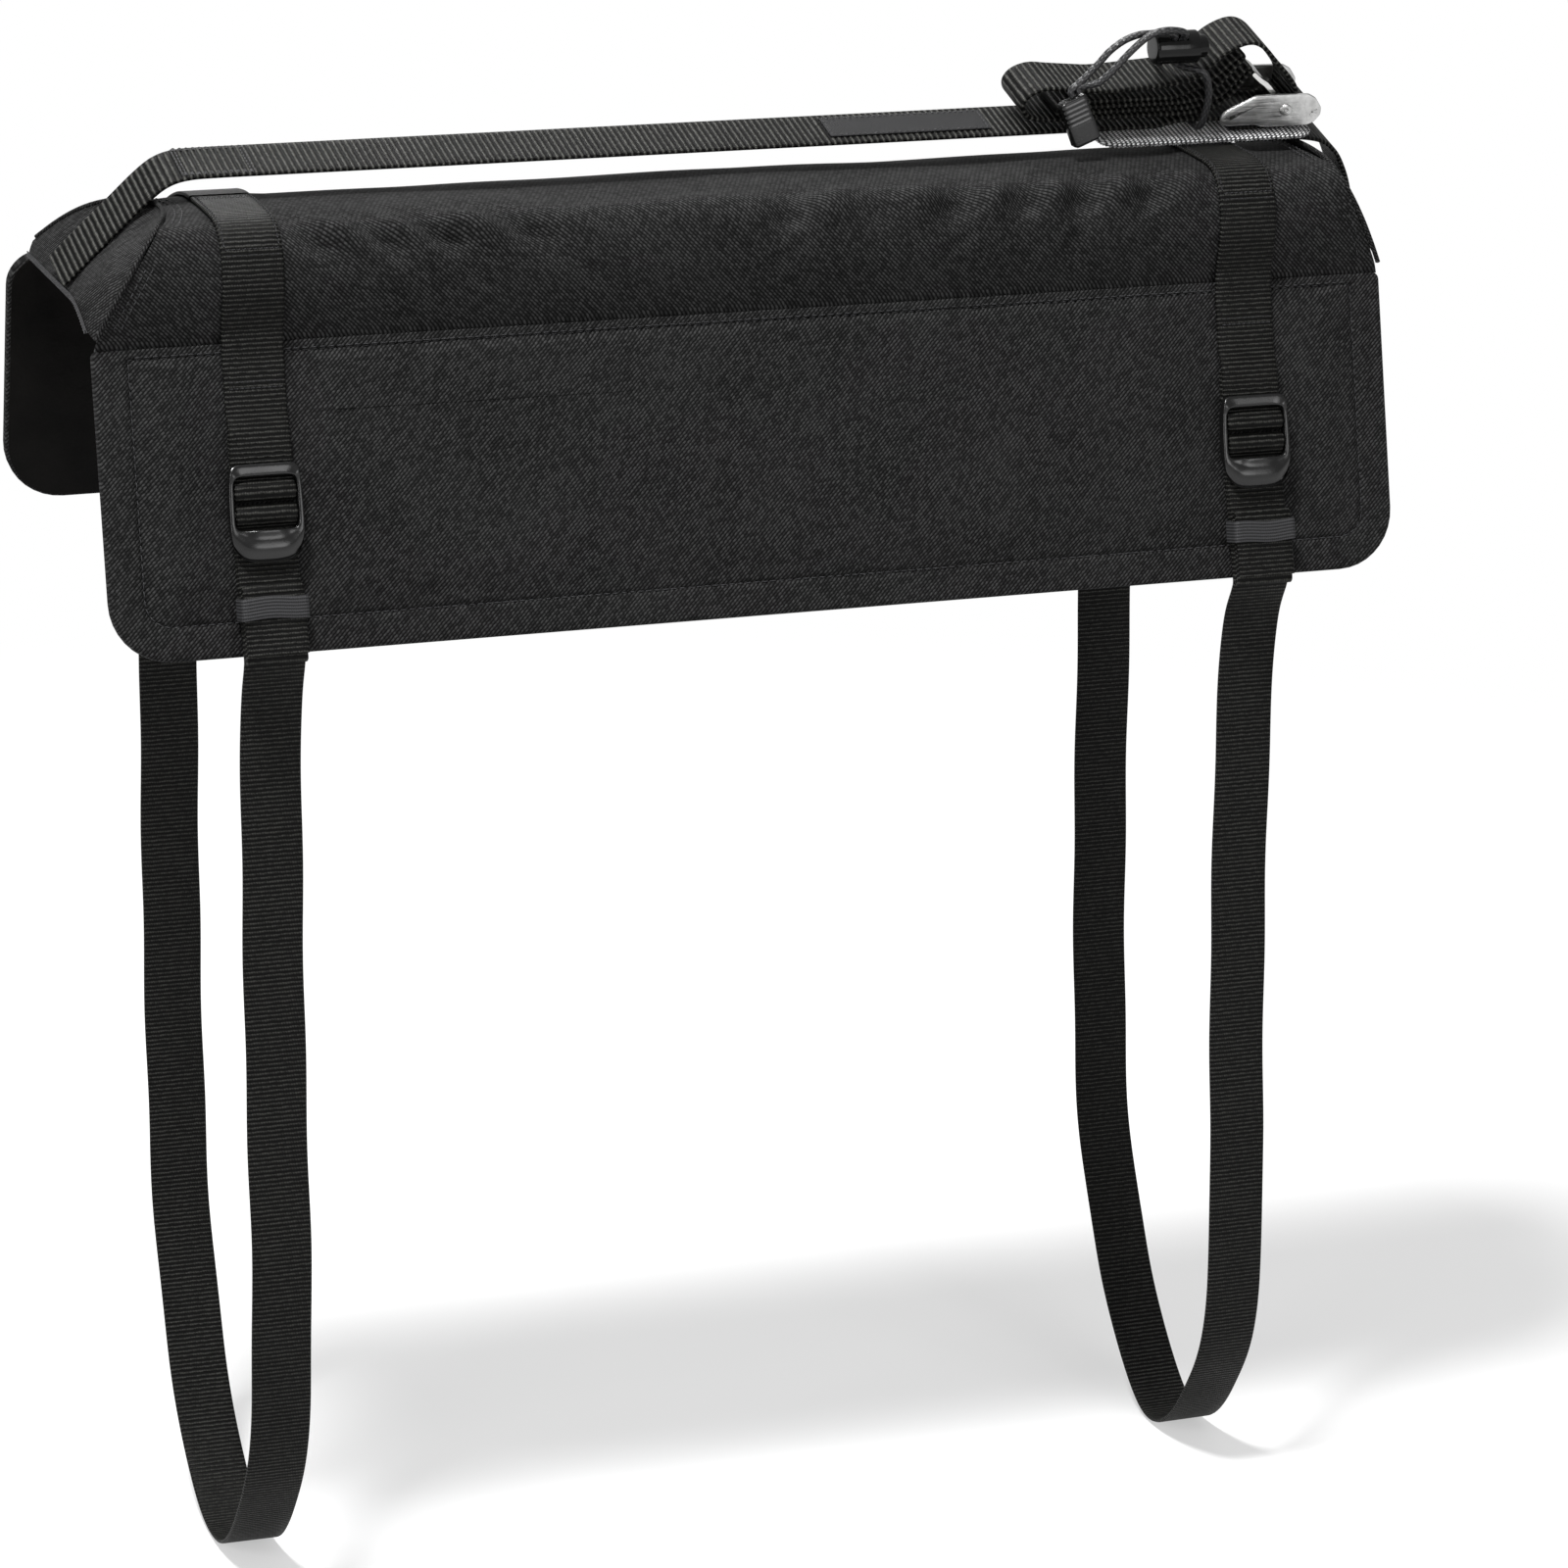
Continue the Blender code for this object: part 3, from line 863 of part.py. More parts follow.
def make_cord():
    """Elastic cord round the bundle and through the lock, and the moulded end that joins it."""
    width, depth, height = CORD_END_SIZE
    lean = CORD_END_LEAN
    middle = np.array(CORD_END_CENTRE)
    right = np.array([math.cos(lean), 0.0, math.sin(lean)])
    up = np.array([-math.sin(lean), 0.0, math.cos(lean)])
    back = np.array([0.0, 1.0, 0.0])
    rings = []
    ribs = 5
    levels = [(-0.5, 0.86), (-0.46, 1.0)]
    for rib in range(ribs):
        base = -0.34 + rib * 0.14
        levels += [(base, 1.0), (base + 0.03, 0.93), (base + 0.06, 0.93), (base + 0.09, 1.0)]
    levels += [(0.46, 1.0), (0.5, 0.86)]
    for level, share in levels:
        w, d = width / 2 * share, depth / 2 * share
        ring = [middle + up * height * level + right * u + back * v
                for u, v in ((-w, -d), (w, -d), (w, d), (-w, d))]
        rings.append(ring)
    add_loft("cord_end", rings, PLASTIC, smooth=False)

    top = middle + up * (height / 2 + 3 * CLEARANCE)
    way = lock_hole_direction()
    first, last = LOCK_STRAND_X
    crossing = np.array([0.0, LOCK_Y, LOCK_Z])

    def in_lock(x, along):
        return tuple(crossing + along * way + np.array([x, 0.0, 0.0]))

    out_strand = [tuple(top + right * 0.0008), tuple(top + right * 0.0008 + up * 0.0022),
                  (0.1512, -0.0206, 0.0662), (0.1552, -0.0208, 0.0698), (0.1602, -0.0210, 0.0748),
                  (0.1652, -0.0212, 0.0801), (0.1715, -0.0213, 0.0843), (0.1781, -0.0215, 0.0865),
                  (0.1834, -0.0221, 0.0869), (0.1885, -0.0227, 0.0874), (0.1922, -0.0231, 0.0870),
                  (0.1942, -0.0226, 0.0856), in_lock(first, -0.0040)]
    wrap = [(0.1945, -0.0022, 0.0735), (0.1949, 0.0010, 0.0714), (0.1958, 0.0060, 0.0709),
            (0.1972, 0.0110, 0.0711), (0.1988, 0.0146, 0.0706), (0.2003, 0.0156, 0.0672),
            (0.2016, 0.0155, 0.0620), (0.2032, 0.0154, 0.0560), (0.2046, 0.0154, 0.0515),
            (0.2056, 0.0147, 0.0483), (0.2064, 0.0118, 0.0470), (0.2075, 0.0060, 0.0471),
            (0.2085, 0.0000, 0.0470), (0.2095, -0.0060, 0.0471), (0.2105, -0.0118, 0.0470),
            (0.2112, -0.0147, 0.0483), (0.2118, -0.0154, 0.0515), (0.2124, -0.0155, 0.0570),
            (0.2124, -0.0155, 0.0630), (0.2112, -0.0154, 0.0690), (0.2092, -0.0150, 0.0732),
            (0.2062, -0.0125, 0.0740), (0.2034, -0.0085, 0.0731), (0.2010, -0.0050, 0.0730),
            (0.1995, -0.0033, 0.0741)]
    round_bundle = [in_lock(first, 0.0), in_lock(first, 0.0066)]
    round_bundle += [tuple(in_cinch(*point)) for point in wrap] + [in_lock(last, 0.0066)]
    return_strand = [in_lock(last, 0.0), in_lock(last, -0.0040), (0.1986, -0.0234, 0.0860),
                     (0.1965, -0.0250, 0.0876), (0.1920, -0.0260, 0.0886), (0.1875, -0.0261, 0.0887),
                     (0.1833, -0.0258, 0.0877), (0.1786, -0.0254, 0.0851), (0.1717, -0.0250, 0.0790),
                     (0.1648, -0.0244, 0.0717), (0.1600, -0.0231, 0.0673), (0.1555, -0.0214, 0.0660),
                     tuple(top + right * 0.0042 + up * 0.0022), tuple(top + right * 0.0042)]
    route = smooth_curve(out_strand + round_bundle + return_strand, 0.0042)
    curve = bpy.data.curves.new("bundle_cord", "CURVE")
    curve.dimensions = "3D"
    curve.bevel_depth = CORD_DIAMETER / 2
    curve.bevel_resolution = 2
    curve.use_fill_caps = True
    spline = curve.splines.new("POLY")
    spline.points.add(len(route) - 1)
    for knot, point in zip(spline.points, route):
        knot.co = (*point, 1.0)
    curve.materials.append(make_material("bundle_cord", *ELASTIC))
    bpy.context.collection.objects.link(bpy.data.objects.new("bundle_cord", curve))


def main():
    """Build every piece of the pad."""
    clear_scene()
    make_roll()
    make_flap("front_flap", FRONT_FLAP, PAD_LENGTH / 2, FRONT_FLAP_HEIGHT, FRONT_FLAP_TOP_CORNER)
    make_flap("rear_flap", REAR_FLAP, PAD_LENGTH / 2 + REAR_FLAP_OVERHANG, REAR_FLAP_HEIGHT,
              REAR_FLAP_TOP_CORNER)
    make_tailgate_strap("left", -1, LEFT_LOOP, LEFT_LOOP_DRIFT)
    make_tailgate_strap("right", 1, RIGHT_LOOP, RIGHT_LOOP_DRIFT)
    make_cinch()
    make_cam_buckle()
    make_cord_lock()
    make_cord()


main()
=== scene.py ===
"""Cloth, webbing, buckles and cord of a tailgate pad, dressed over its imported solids.

X runs along the pad, -Y is the front and +Z is up; the origin is the middle of the roll's flat
underside. Every length is in metres.
"""

import math

import bmesh
import bpy
import numpy as np
from mathutils import Matrix


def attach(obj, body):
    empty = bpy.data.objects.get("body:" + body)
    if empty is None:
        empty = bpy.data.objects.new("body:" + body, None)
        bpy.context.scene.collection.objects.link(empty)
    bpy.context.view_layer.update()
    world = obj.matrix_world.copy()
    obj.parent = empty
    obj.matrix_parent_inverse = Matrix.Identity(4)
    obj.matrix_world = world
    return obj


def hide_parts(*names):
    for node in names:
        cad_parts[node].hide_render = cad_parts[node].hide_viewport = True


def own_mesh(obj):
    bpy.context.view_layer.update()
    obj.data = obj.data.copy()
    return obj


bl_info = {
    "name": "Tailgate Pad",
    "version": (1, 0, 0),
    "blender": (4, 5, 0),
    "location": "3D View > Sidebar > Pad",
    "description": "Builds the cloth, webbing, buckles and cord of a padded tailgate cover",
    "category": "Object",
}

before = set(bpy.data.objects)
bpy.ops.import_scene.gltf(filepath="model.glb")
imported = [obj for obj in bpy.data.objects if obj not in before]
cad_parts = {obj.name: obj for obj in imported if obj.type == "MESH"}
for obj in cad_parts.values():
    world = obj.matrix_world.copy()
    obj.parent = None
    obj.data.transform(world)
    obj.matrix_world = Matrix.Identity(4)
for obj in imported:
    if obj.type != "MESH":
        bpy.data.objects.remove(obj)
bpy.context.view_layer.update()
MM = 0.001

# Padded body
PAD_LENGTH = 0.560
SADDLE_FRONT = -0.054
SADDLE_REAR = 0.060
FRONT_SEAM_DROP = 0.013
REAR_SEAM_RISE = 0.002
ROLL_HEIGHT = 0.0336
GUSSET_LEAN = 0.024
GUSSET_LEAN_MIDDLE = {-1: 0.038, 1: 0.020}
COVER_THICKNESS = 0.0012
GUSSET_THICKNESS = 0.0012
LINING_THICKNESS = 0.0008
FLAP_LINING_THICKNESS = 0.0006
GAP = 0.0003

# Flaps: seam in (y, z), splay, height, half length, top corner
FLAPS = {
    "front_flap": ((SADDLE_FRONT, -FRONT_SEAM_DROP), math.radians(14.5), -1, 0.126, 0.280, 0.003),
    "rear_flap": ((SADDLE_REAR, REAR_SEAM_RISE), math.radians(8.5), 1, 0.110, 0.289, 0.014),
}
FLAP_THICKNESS = 0.0065
FLAP_CORNER = 0.025
FLAP_SEAM_GAP = 0.0008
FOAM_INSET = 0.0045
FLAP_SKIN = 0.0022
STITCH_INSET = 0.014
# How fast the drawn-in outline of a flap sinks at its top, as a share of the inset
TOP_INSET_SHARE = 0.3

# Webbing and its hardware
WEB_WIDTH = 0.0254
WEB_THICKNESS = 0.0018
LAYER_PITCH = WEB_THICKNESS + 0.0004
SEAM_EDGE = 0.0112
SEAM_STITCH, SEAM_THREAD = 0.0026, 0.0006
STRAP_X = 0.2156
LOOP_DRIFT = {-1: 0.002, 1: 0.008}
LOOP_DEPTH = 0.551
# Hanging loops, from the rear round the bottom to the front: (y, share of the depth)
LOOPS = {
    -1: ((0.0815, 0.245), (0.0850, 0.345), (0.0845, 0.544), (0.0800, 0.699), (0.0710, 0.808),
         (0.0520, 0.893), (0.0290, 0.953), (0.0040, 0.990), (-0.0200, 1.0), (-0.0420, 0.987),
         (-0.0660, 0.944), (-0.0850, 0.886), (-0.0940, 0.799), (-0.0945, 0.708), (-0.0880, 0.563),
         (-0.0840, 0.399), (-0.0835, 0.290)),
    1: ((0.0790, 0.245), (0.0760, 0.345), (0.0720, 0.544), (0.0670, 0.699), (0.0580, 0.808),
        (0.0370, 0.893), (0.0150, 0.951), (-0.0060, 0.989), (-0.0240, 1.0), (-0.0440, 0.985),
        (-0.0650, 0.944), (-0.0830, 0.886), (-0.0900, 0.799), (-0.0880, 0.708), (-0.0830, 0.563),
        (-0.0795, 0.399), (-0.0805, 0.290)),
}
BUCKLE_TOP = 0.0490
UPPER_BAR_DROP = 0.0605
LOWER_BAR_DROP = 0.0690
BAR_SIZE = 0.0034
BAR_STANDOFF = 0.0043
KEEPER_DROP = 0.102
KEEPER_WIDTH = 0.009
KEEPER_THICKNESS = 0.0010
TAIL_RISE = 0.0016

# Cinch strap, its buckle and cord lock
CINCH_TILT = math.radians(15.0)
CINCH_HEIGHT = 0.0476
BUCKLE_STRAP_HEIGHT = 0.0493
STACK_PITCH = 0.0026
STACK_STANDOFF = 0.0056
LABEL_LEFT, LABEL_RIGHT, LABEL_WIDTH, LABEL_THICKNESS = 0.046, 0.118, 0.017, 0.0005
# Grey pad: left end, right end, width, thickness and height of its top
PAD_STRIP = (0.166, 0.265, 0.038, 0.0036, 0.0436)
PIN_X, PIN_HEIGHT = 0.2498, 0.0540
PIN_RADIUS, PIN_HEAD_RADIUS, CAM_RADIUS = 0.0014, 0.0027, 0.0034
SPRING_WIRE = 0.0007
ANCHOR_BAR_X, ANCHOR_BAR_HEIGHT, ANCHOR_BAR_RADIUS = 0.2622, 0.0507, 0.0018
FRAME_INSIDE = 0.0134
SIDE_PLATE_THICKNESS = 0.0015
LOCK_LEFT, LOCK_LENGTH, LOCK_RADIUS = 0.1864, 0.0200, 0.0070
LOCK_WALL, LOCK_FLOOR, LOCK_SPRING_ROOM = 0.0018, 0.0018, 0.0038
LOCK_Y, LOCK_Z = -0.0167, 0.0795
LOCK_HOLE_TURN = math.radians(42.0)
LOCK_STRANDS = (0.1944, 0.1988)
PLUNGER_TRAVEL, PLUNGER_STANDOUT = 0.0022, 0.0045
CORD_DIAMETER = 0.0030
CORD_END_CENTRE = (0.1526, -0.0206, 0.0510)
CORD_END_SIZE = (0.0125, 0.0060, 0.0205)
CORD_END_LEAN = math.radians(22.0)

# Stage: floor below the origin, and a camera turned about the target
FLOOR_DROP = 0.5535
FLOOR_REACH = 6.0
FILM_WIDTH, FOCAL_LENGTH = 36.0, 136.125
CAMERA_TARGET = (0.0358, 0.0, -0.2394)
CAMERA_DISTANCE = 2.565
CAMERA_AZIMUTH, CAMERA_HEIGHT, CAMERA_ROLL = math.radians(20.3), math.radians(18.4), math.radians(1.5)
# Lights: place, width and power, with those that skip the floor so that its shadow stays soft and grey
LIGHTS = {
    "key_light": ((-0.80, -0.55, 2.45), 0.45, 125.0),
    "top_light": ((0.15, 0.90, 2.10), 1.0, 40.0),
    "rim_light": ((0.10, 2.40, 1.00), 0.9, 18.0),
    "front_light": ((0.7, -2.7, 0.5), 1.3, 24.0),
    "side_light": ((-2.4, -0.6, 0.5), 1.0, 24.0),
}
LIGHTS_OFF_FLOOR = ("top_light", "rim_light")

# Gathers along the roll's front top edge: place along X, depth and half width, in millimetres
GATHERS = np.array([(-189, 6.0, 9), (-161, 6.4, 9), (-137, 8.8, 10), (-100, 6.8, 12), (-60, 1.4, 14),
                    (13, 6.0, 10), (52, 1.8, 10), (87, 6.4, 10), (118, 6.0, 9), (144, 7.6, 9),
                    (174, 6.0, 8), (-250, 1.6, 8), (246, 2.0, 8)])
RIDGES = np.array([(-175, 2.6, 6), (-149, 3.2, 6), (-119, 3.6, 8), (30, 2.4, 8), (71, 2.6, 8),
                   (103, 2.8, 6), (131, 3.2, 6), (159, 2.8, 6)])


def linear(code):
    """A colour given as an sRGB hex value, as linear red, green and blue."""
    parts = [int(code[k:k + 2], 16) / 255 for k in (1, 3, 5)]
    return tuple(p / 12.92 if p <= 0.04045 else ((p + 0.055) / 1.055) ** 2.4 for p in parts)


class PadSizes(bpy.types.PropertyGroup):
    """Sizes of the soft and small pieces; ribs, twill lines and knit are coarser than real ones, to show."""

    gather: bpy.props.FloatProperty(
        name="Gather", description="How deep the gathers on the roll are, as a share of the usual",
        default=1.0, min=0.0, max=1.5)
    puff: bpy.props.FloatProperty(
        name="Puff", description="How far the flaps' padding stands out between the straps",
        default=0.0016, unit="LENGTH")
    stitch_pitch: bpy.props.FloatProperty(
        name="Stitch pitch", description="Distance from one stitch to the next",
        default=0.0036, unit="LENGTH")
    thread: bpy.props.FloatProperty(
        name="Thread", description="Diameter of the sewing thread", default=0.0005, unit="LENGTH")
    fine_rib: bpy.props.FloatProperty(
        name="Fine rib", description="Distance between the ribs of the tailgate straps",
        default=0.0019, unit="LENGTH")
    heavy_rib: bpy.props.FloatProperty(
        name="Heavy rib", description="Distance between the ribs of the cinch strap",
        default=0.0027, unit="LENGTH")
    twill: bpy.props.FloatProperty(
        name="Twill", description="Distance between the twill lines of the cloth",
        default=0.0013, unit="LENGTH")
    knit: bpy.props.FloatProperty(
        name="Knit", description="Width of one stitch of the knitted pad", default=0.0021, unit="LENGTH")


class PadColours(bpy.types.PropertyGroup):
    """Colours of the finishes."""

    cloth: bpy.props.FloatVectorProperty(
        name="Cloth", description="Twill cloth of the roll and flaps", subtype="COLOR",
        default=linear("#161616"))
    lining: bpy.props.FloatVectorProperty(
        name="Lining", description="Coated inner lining", subtype="COLOR", default=linear("#0A0908"))
    webbing: bpy.props.FloatVectorProperty(
        name="Webbing", description="Webbing of all the straps", subtype="COLOR", default=linear("#0D0D0C"))
    knit: bpy.props.FloatVectorProperty(
        name="Knit", description="Grey knit of the buckle pad", subtype="COLOR", default=linear("#939395"))
    plastic: bpy.props.FloatVectorProperty(
        name="Plastic", description="Acetal of the buckles", subtype="COLOR", default=linear("#0B0B0B"))
    metal: bpy.props.FloatVectorProperty(
        name="Metal", description="Die-cast zinc of the cam buckle", subtype="COLOR",
        default=linear("#C9C9C8"))


def sizes():
    """The scene's sizes."""
    return bpy.context.scene.pad_sizes


def colours():
    """The scene's colours."""
    return bpy.context.scene.pad_colours


# Curves and places

def run_along(line):
    """Distance along a line to each of its points."""
    return np.concatenate([[0.0], np.cumsum(np.linalg.norm(np.diff(line, axis=0), axis=1))])


def spaced(line, count=None, step=None):
    """The same line with points at even distances."""
    run = run_along(line)
    count = count or max(2, int(round(run[-1] / step)) + 1)
    marks = np.linspace(0.0, run[-1], count)
    return np.stack([np.interp(marks, run, line[:, k]) for k in range(line.shape[1])], axis=1)


def smooth_line(points, count=None, step=None):
    """A Catmull-Rom curve through the points, spaced evenly."""
    p = np.asarray(points, float)
    ends = np.vstack([2 * p[0] - p[1], p, 2 * p[-1] - p[-2]])
    t = np.linspace(0, 1, 24, endpoint=False)[None, :, None]
    a, b, c, d = (ends[k:len(ends) - 3 + k, None] for k in range(4))
    fine = 0.5 * (2 * b + (c - a) * t + (2 * a - 5 * b + 4 * c - d) * t ** 2
                  + (3 * b - a - 3 * c + d) * t ** 3)
    return spaced(np.vstack([fine.reshape(-1, p.shape[1]), p[-1]]), count, step)


def eased(line, step, reach):
    """A polyline spaced evenly, with its corners eased by a Gaussian of the given reach."""
    fine = spaced(line, step=step)
    half = int(3 * reach / step) + 1
    weights = np.exp(-0.5 * (np.arange(-half, half + 1) * step / reach) ** 2)
    weights /= weights.sum()
    ahead = 2 * fine[-1] - fine[-2:-half - 2:-1]
    behind = 2 * fine[0] - fine[half:0:-1]
    padded = np.vstack([behind, fine, ahead])
    return np.stack([np.convolve(padded[:, k], weights, "valid") for k in range(fine.shape[1])], axis=1)


def arc(centre, radius, start, stop, count):
    """Points on a circular arc in a plane, with angles in degrees."""
    angle = np.radians(np.linspace(start, stop, count))
    return np.stack([centre[0] + radius * np.cos(angle), centre[1] + radius * np.sin(angle)], axis=1)


def unit(vectors):
    """Vectors scaled to a length of one."""
    return vectors / np.maximum(np.linalg.norm(vectors, axis=-1, keepdims=True), 1e-12)


def smoothstep(x):
    """Zero below 0, one above 1, and 3x2 - 2x3 between."""
    x = np.clip(x, 0.0, 1.0)
    return x * x * (3 - 2 * x)


def ripple(x, y, seed):
    """Gentle unevenness between -1 and 1: a sum of sines with unrelated directions."""
    rng = np.random.default_rng(seed)
    total = 0.0
    for _ in range(6):
        kx, ky, phase = rng.uniform(-1, 1), rng.uniform(-1, 1), rng.uniform(0, 6.3)
        total = total + np.sin(kx * x + ky * y + phase)
    return total / 3.5


def roll_outline(count, offset=0.0):
    """Section of the roll in (y, z), from the front seam over the top to the rear seam."""
    shape = np.array([(0.0, 0.0), (-0.022, 0.30), (-0.030, 0.52), (-0.012, 0.74), (0.040, 0.91),
                      (0.115, 0.983), (0.245, 1.0), (0.385, 1.0), (0.490, 0.985), (0.595, 0.925),
                      (0.700, 0.810), (0.805, 0.640), (0.905, 0.400), (0.975, 0.170), (1.0, 0.0)])
    across, up = shape.T
    base = -FRONT_SEAM_DROP * (1 - across) ** 3 + REAR_SEAM_RISE * across ** 3
    y = SADDLE_FRONT + across * (SADDLE_REAR - SADDLE_FRONT)
    curve = smooth_line(np.stack([y, base + up * (ROLL_HEIGHT - base)], axis=1), count)
    slope = np.gradient(curve, axis=0)
    return curve + unit(np.stack([-slope[:, 1], slope[:, 0]], axis=1)) * offset


def end_position(side, count):
    """Distance of the gusset seam from the pad's middle, along the roll's section."""
    along = np.linspace(0.0, 1.0, count)
    seam = -FRONT_SEAM_DROP + (REAR_SEAM_RISE + FRONT_SEAM_DROP) * along
    rise = np.clip((roll_outline(count)[:, 1] - seam) / (ROLL_HEIGHT - seam), 0.0, 1.0)
    lean = GUSSET_LEAN + (GUSSET_LEAN_MIDDLE[side] - GUSSET_LEAN) * np.sin(math.pi * along) ** 4
    return PAD_LENGTH / 2 - 0.001 - lean * rise


def flap_axes(flap):
    """A flap's seam, the direction down it and the direction out of its face, in (y, z)."""
    seam, splay, side = FLAPS[flap][:3]
    down = np.array([side * math.sin(splay), -math.cos(splay)])
    out = np.array([side * math.cos(splay), math.sin(splay)])
    return np.array(seam), down, out


def on_flap(flap, points):
    """(drop, standoff) pairs on a flap as (y, z) points."""
    seam, down, out = flap_axes(flap)
    points = np.asarray(points, float)
    return seam + points[..., :1] * down + points[..., 1:] * out


def flap_space(flap, x, drop, standoff):
    """Arrays of x, drop and standoff on a flap as points in space."""
    place = on_flap(flap, np.stack(np.broadcast_arrays(drop, standoff), axis=-1))
    return np.concatenate([np.broadcast_to(x, place.shape[:-1])[..., None], place], axis=-1)


CINCH_ACROSS = np.array([0.0, math.cos(CINCH_TILT), math.sin(CINCH_TILT)])
CINCH_OUT = np.array([0.0, -math.sin(CINCH_TILT), math.cos(CINCH_TILT)])
ALONG_X = np.array([1.0, 0.0, 0.0])


def in_cinch(points):
    """(x, across, height) on the cinch strap as points in space."""
    points = np.asarray(points, float)
    base = np.array([0.0, 0.0, CINCH_HEIGHT])
    return (points[..., :1] * ALONG_X + base + points[..., 1:2] * CINCH_ACROSS
            + (points[..., 2:] - CINCH_HEIGHT) * CINCH_OUT)


def on_cinch(points):
    """(x, height) on the cinch strap's middle line as points in space."""
    points = np.asarray(points, float)
    return in_cinch(np.stack([points[:, 0], np.zeros(len(points)), points[:, 1]], axis=1))


# Meshes

def add_mesh(name, points, quads, finish, body="pad", extra=(), corner_uv=None, closed=True):
    """One mesh object that rides on a body; quads is an (n, 4) array and extra holds other faces."""
    mesh = bpy.data.meshes.new(name)
    faces = quads.tolist() + [tuple(f) for f in extra]
    mesh.from_pydata(np.asarray(points, float).reshape(-1, 3).tolist(), [], faces)
    if corner_uv is not None:
        layer = mesh.uv_layers.new(name="weave")
        flat = np.zeros((len(mesh.loops), 2))
        flat[:len(corner_uv)] = corner_uv
        layer.data.foreach_set("uv", flat.ravel())
    if closed:
        work = bmesh.new()
        work.from_mesh(mesh)
        bmesh.ops.recalc_face_normals(work, faces=work.faces)
        work.to_mesh(mesh)
        work.free()
    mesh.shade_smooth()
    mesh.set_sharp_from_angle(angle=math.radians(50.0))
    mesh.materials.append(finish)
    piece = bpy.data.objects.new(name, mesh)
    bpy.context.scene.collection.objects.link(piece)
    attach(piece, body)
    return piece


def grid_quads(rows, cols, wrap_rows, wrap_cols):
    """Faces of a grid and, for their corners, the row and column of an unwrapped grid."""
    i, j = np.meshgrid(np.arange(rows if wrap_rows else rows - 1), np.arange(cols if wrap_cols else cols - 1),
                       indexing="ij")
    i, j = i.ravel(), j.ravel()
    row = np.stack([i, i, i + 1, i + 1], axis=1)
    col = np.stack([j, j + 1, j + 1, j], axis=1)
    return (row % rows) * cols + (col % cols), row, col


def add_surface(name, grid, finish, uv=None, wrap_rows=False, wrap_cols=True, capped=True, body="pad"):
    """A closed or open surface over a grid of points, with its own UV in metres."""
    rows, cols = grid.shape[:2]
    quads, row, col = grid_quads(rows, cols, wrap_rows, wrap_cols)
    corner_uv = None if uv is None else uv[row, col].reshape(-1, 2)
    caps = []
    if capped and wrap_cols and not wrap_rows:
        caps = [range(cols), range((rows - 1) * cols, rows * cols)]
        if uv is not None:
            corner_uv = np.vstack([corner_uv, uv[0, :cols], uv[-1, :cols]])
    return add_mesh(name, grid, quads, finish, body, caps, corner_uv)


def add_shell(name, outer, inner, finish, uv, body="pad"):
    """A thin closed shell between two grids of the same size."""
    rows, cols = outer.shape[:2]
    quads, row, col = grid_quads(rows, cols, False, False)
    base = rows * cols
    rim = np.concatenate([np.arange(cols), np.arange(1, rows) * cols + cols - 1,
                          (rows - 1) * cols + np.arange(cols - 2, -1, -1), np.arange(rows - 2, 0, -1) * cols])
    after = np.roll(rim, -1)
    side = np.stack([rim, after, after + base, rim + base], axis=1)
    faces = np.vstack([quads, quads[:, ::-1] + base, side])
    flat = uv.reshape(-1, 2)
    corner_uv = np.vstack([uv[row, col].reshape(-1, 2), uv[row, col][:, ::-1].reshape(-1, 2),
                           flat[side % base].reshape(-1, 2)])
    return add_mesh(name, np.concatenate([outer.reshape(-1, 3), inner.reshape(-1, 3)]), faces, finish, body,
                    corner_uv=corner_uv)


def tube_grid(path, radius, sides, start=(0.0, 0.0, 1.0)):
    """Circles carried along a path without turning; radius is one number or one for each point."""
    path = np.asarray(path, float)
    way = unit(np.gradient(path, axis=0))
    normal = np.cross(way[0], start)
    if np.linalg.norm(normal) < 0.2:
        normal = np.cross(way[0], ALONG_X)
    normals = np.empty_like(path)
    for k, direction in enumerate(way):
        normal = unit(normal - direction * np.dot(normal, direction))
        normals[k] = normal
    angle = np.linspace(0, 2 * math.pi, sides, endpoint=False)
    ring = (np.cos(angle)[None, :, None] * normals[:, None]
            + np.sin(angle)[None, :, None] * np.cross(way, normals)[:, None])
    return path[:, None] + np.broadcast_to(radius, len(path))[:, None, None] * ring


def length_uv(path, cols, around):
    """UV of a tube or strip: u around or across it and v along it, in metres."""
    run = run_along(path)
    u, v = np.meshgrid(np.linspace(0.0, around, cols + 1), run)
    return np.stack([u, v], axis=-1)


def add_tube(name, path, radius, finish, sides=12, body="pad"):
    """Round tube along a path."""
    grid = tube_grid(path, radius, sides)
    mean = float(np.mean(radius))
    return add_surface(name, grid, finish, length_uv(np.asarray(path), sides, 2 * math.pi * mean), body=body)


def web_profile(width, thickness):
    """Section of a strap: two flat faces joined by round selvedges, as (across, out) and its u."""
    r = thickness / 2
    flat = np.linspace(-width / 2 + r, width / 2 - r, 7)
    top = np.stack([flat, np.full(7, r)], axis=1)
    right = np.array([width / 2 - r, 0.0]) + arc((0, 0), r, 90, -90, 6)[1:-1]
    left = np.array([-width / 2 + r, 0.0]) + arc((0, 0), r, 270, 90, 6)[1:-1]
    under = np.stack([flat[::-1], np.full(7, -r)], axis=1)
    return np.vstack([top, right, under, left])


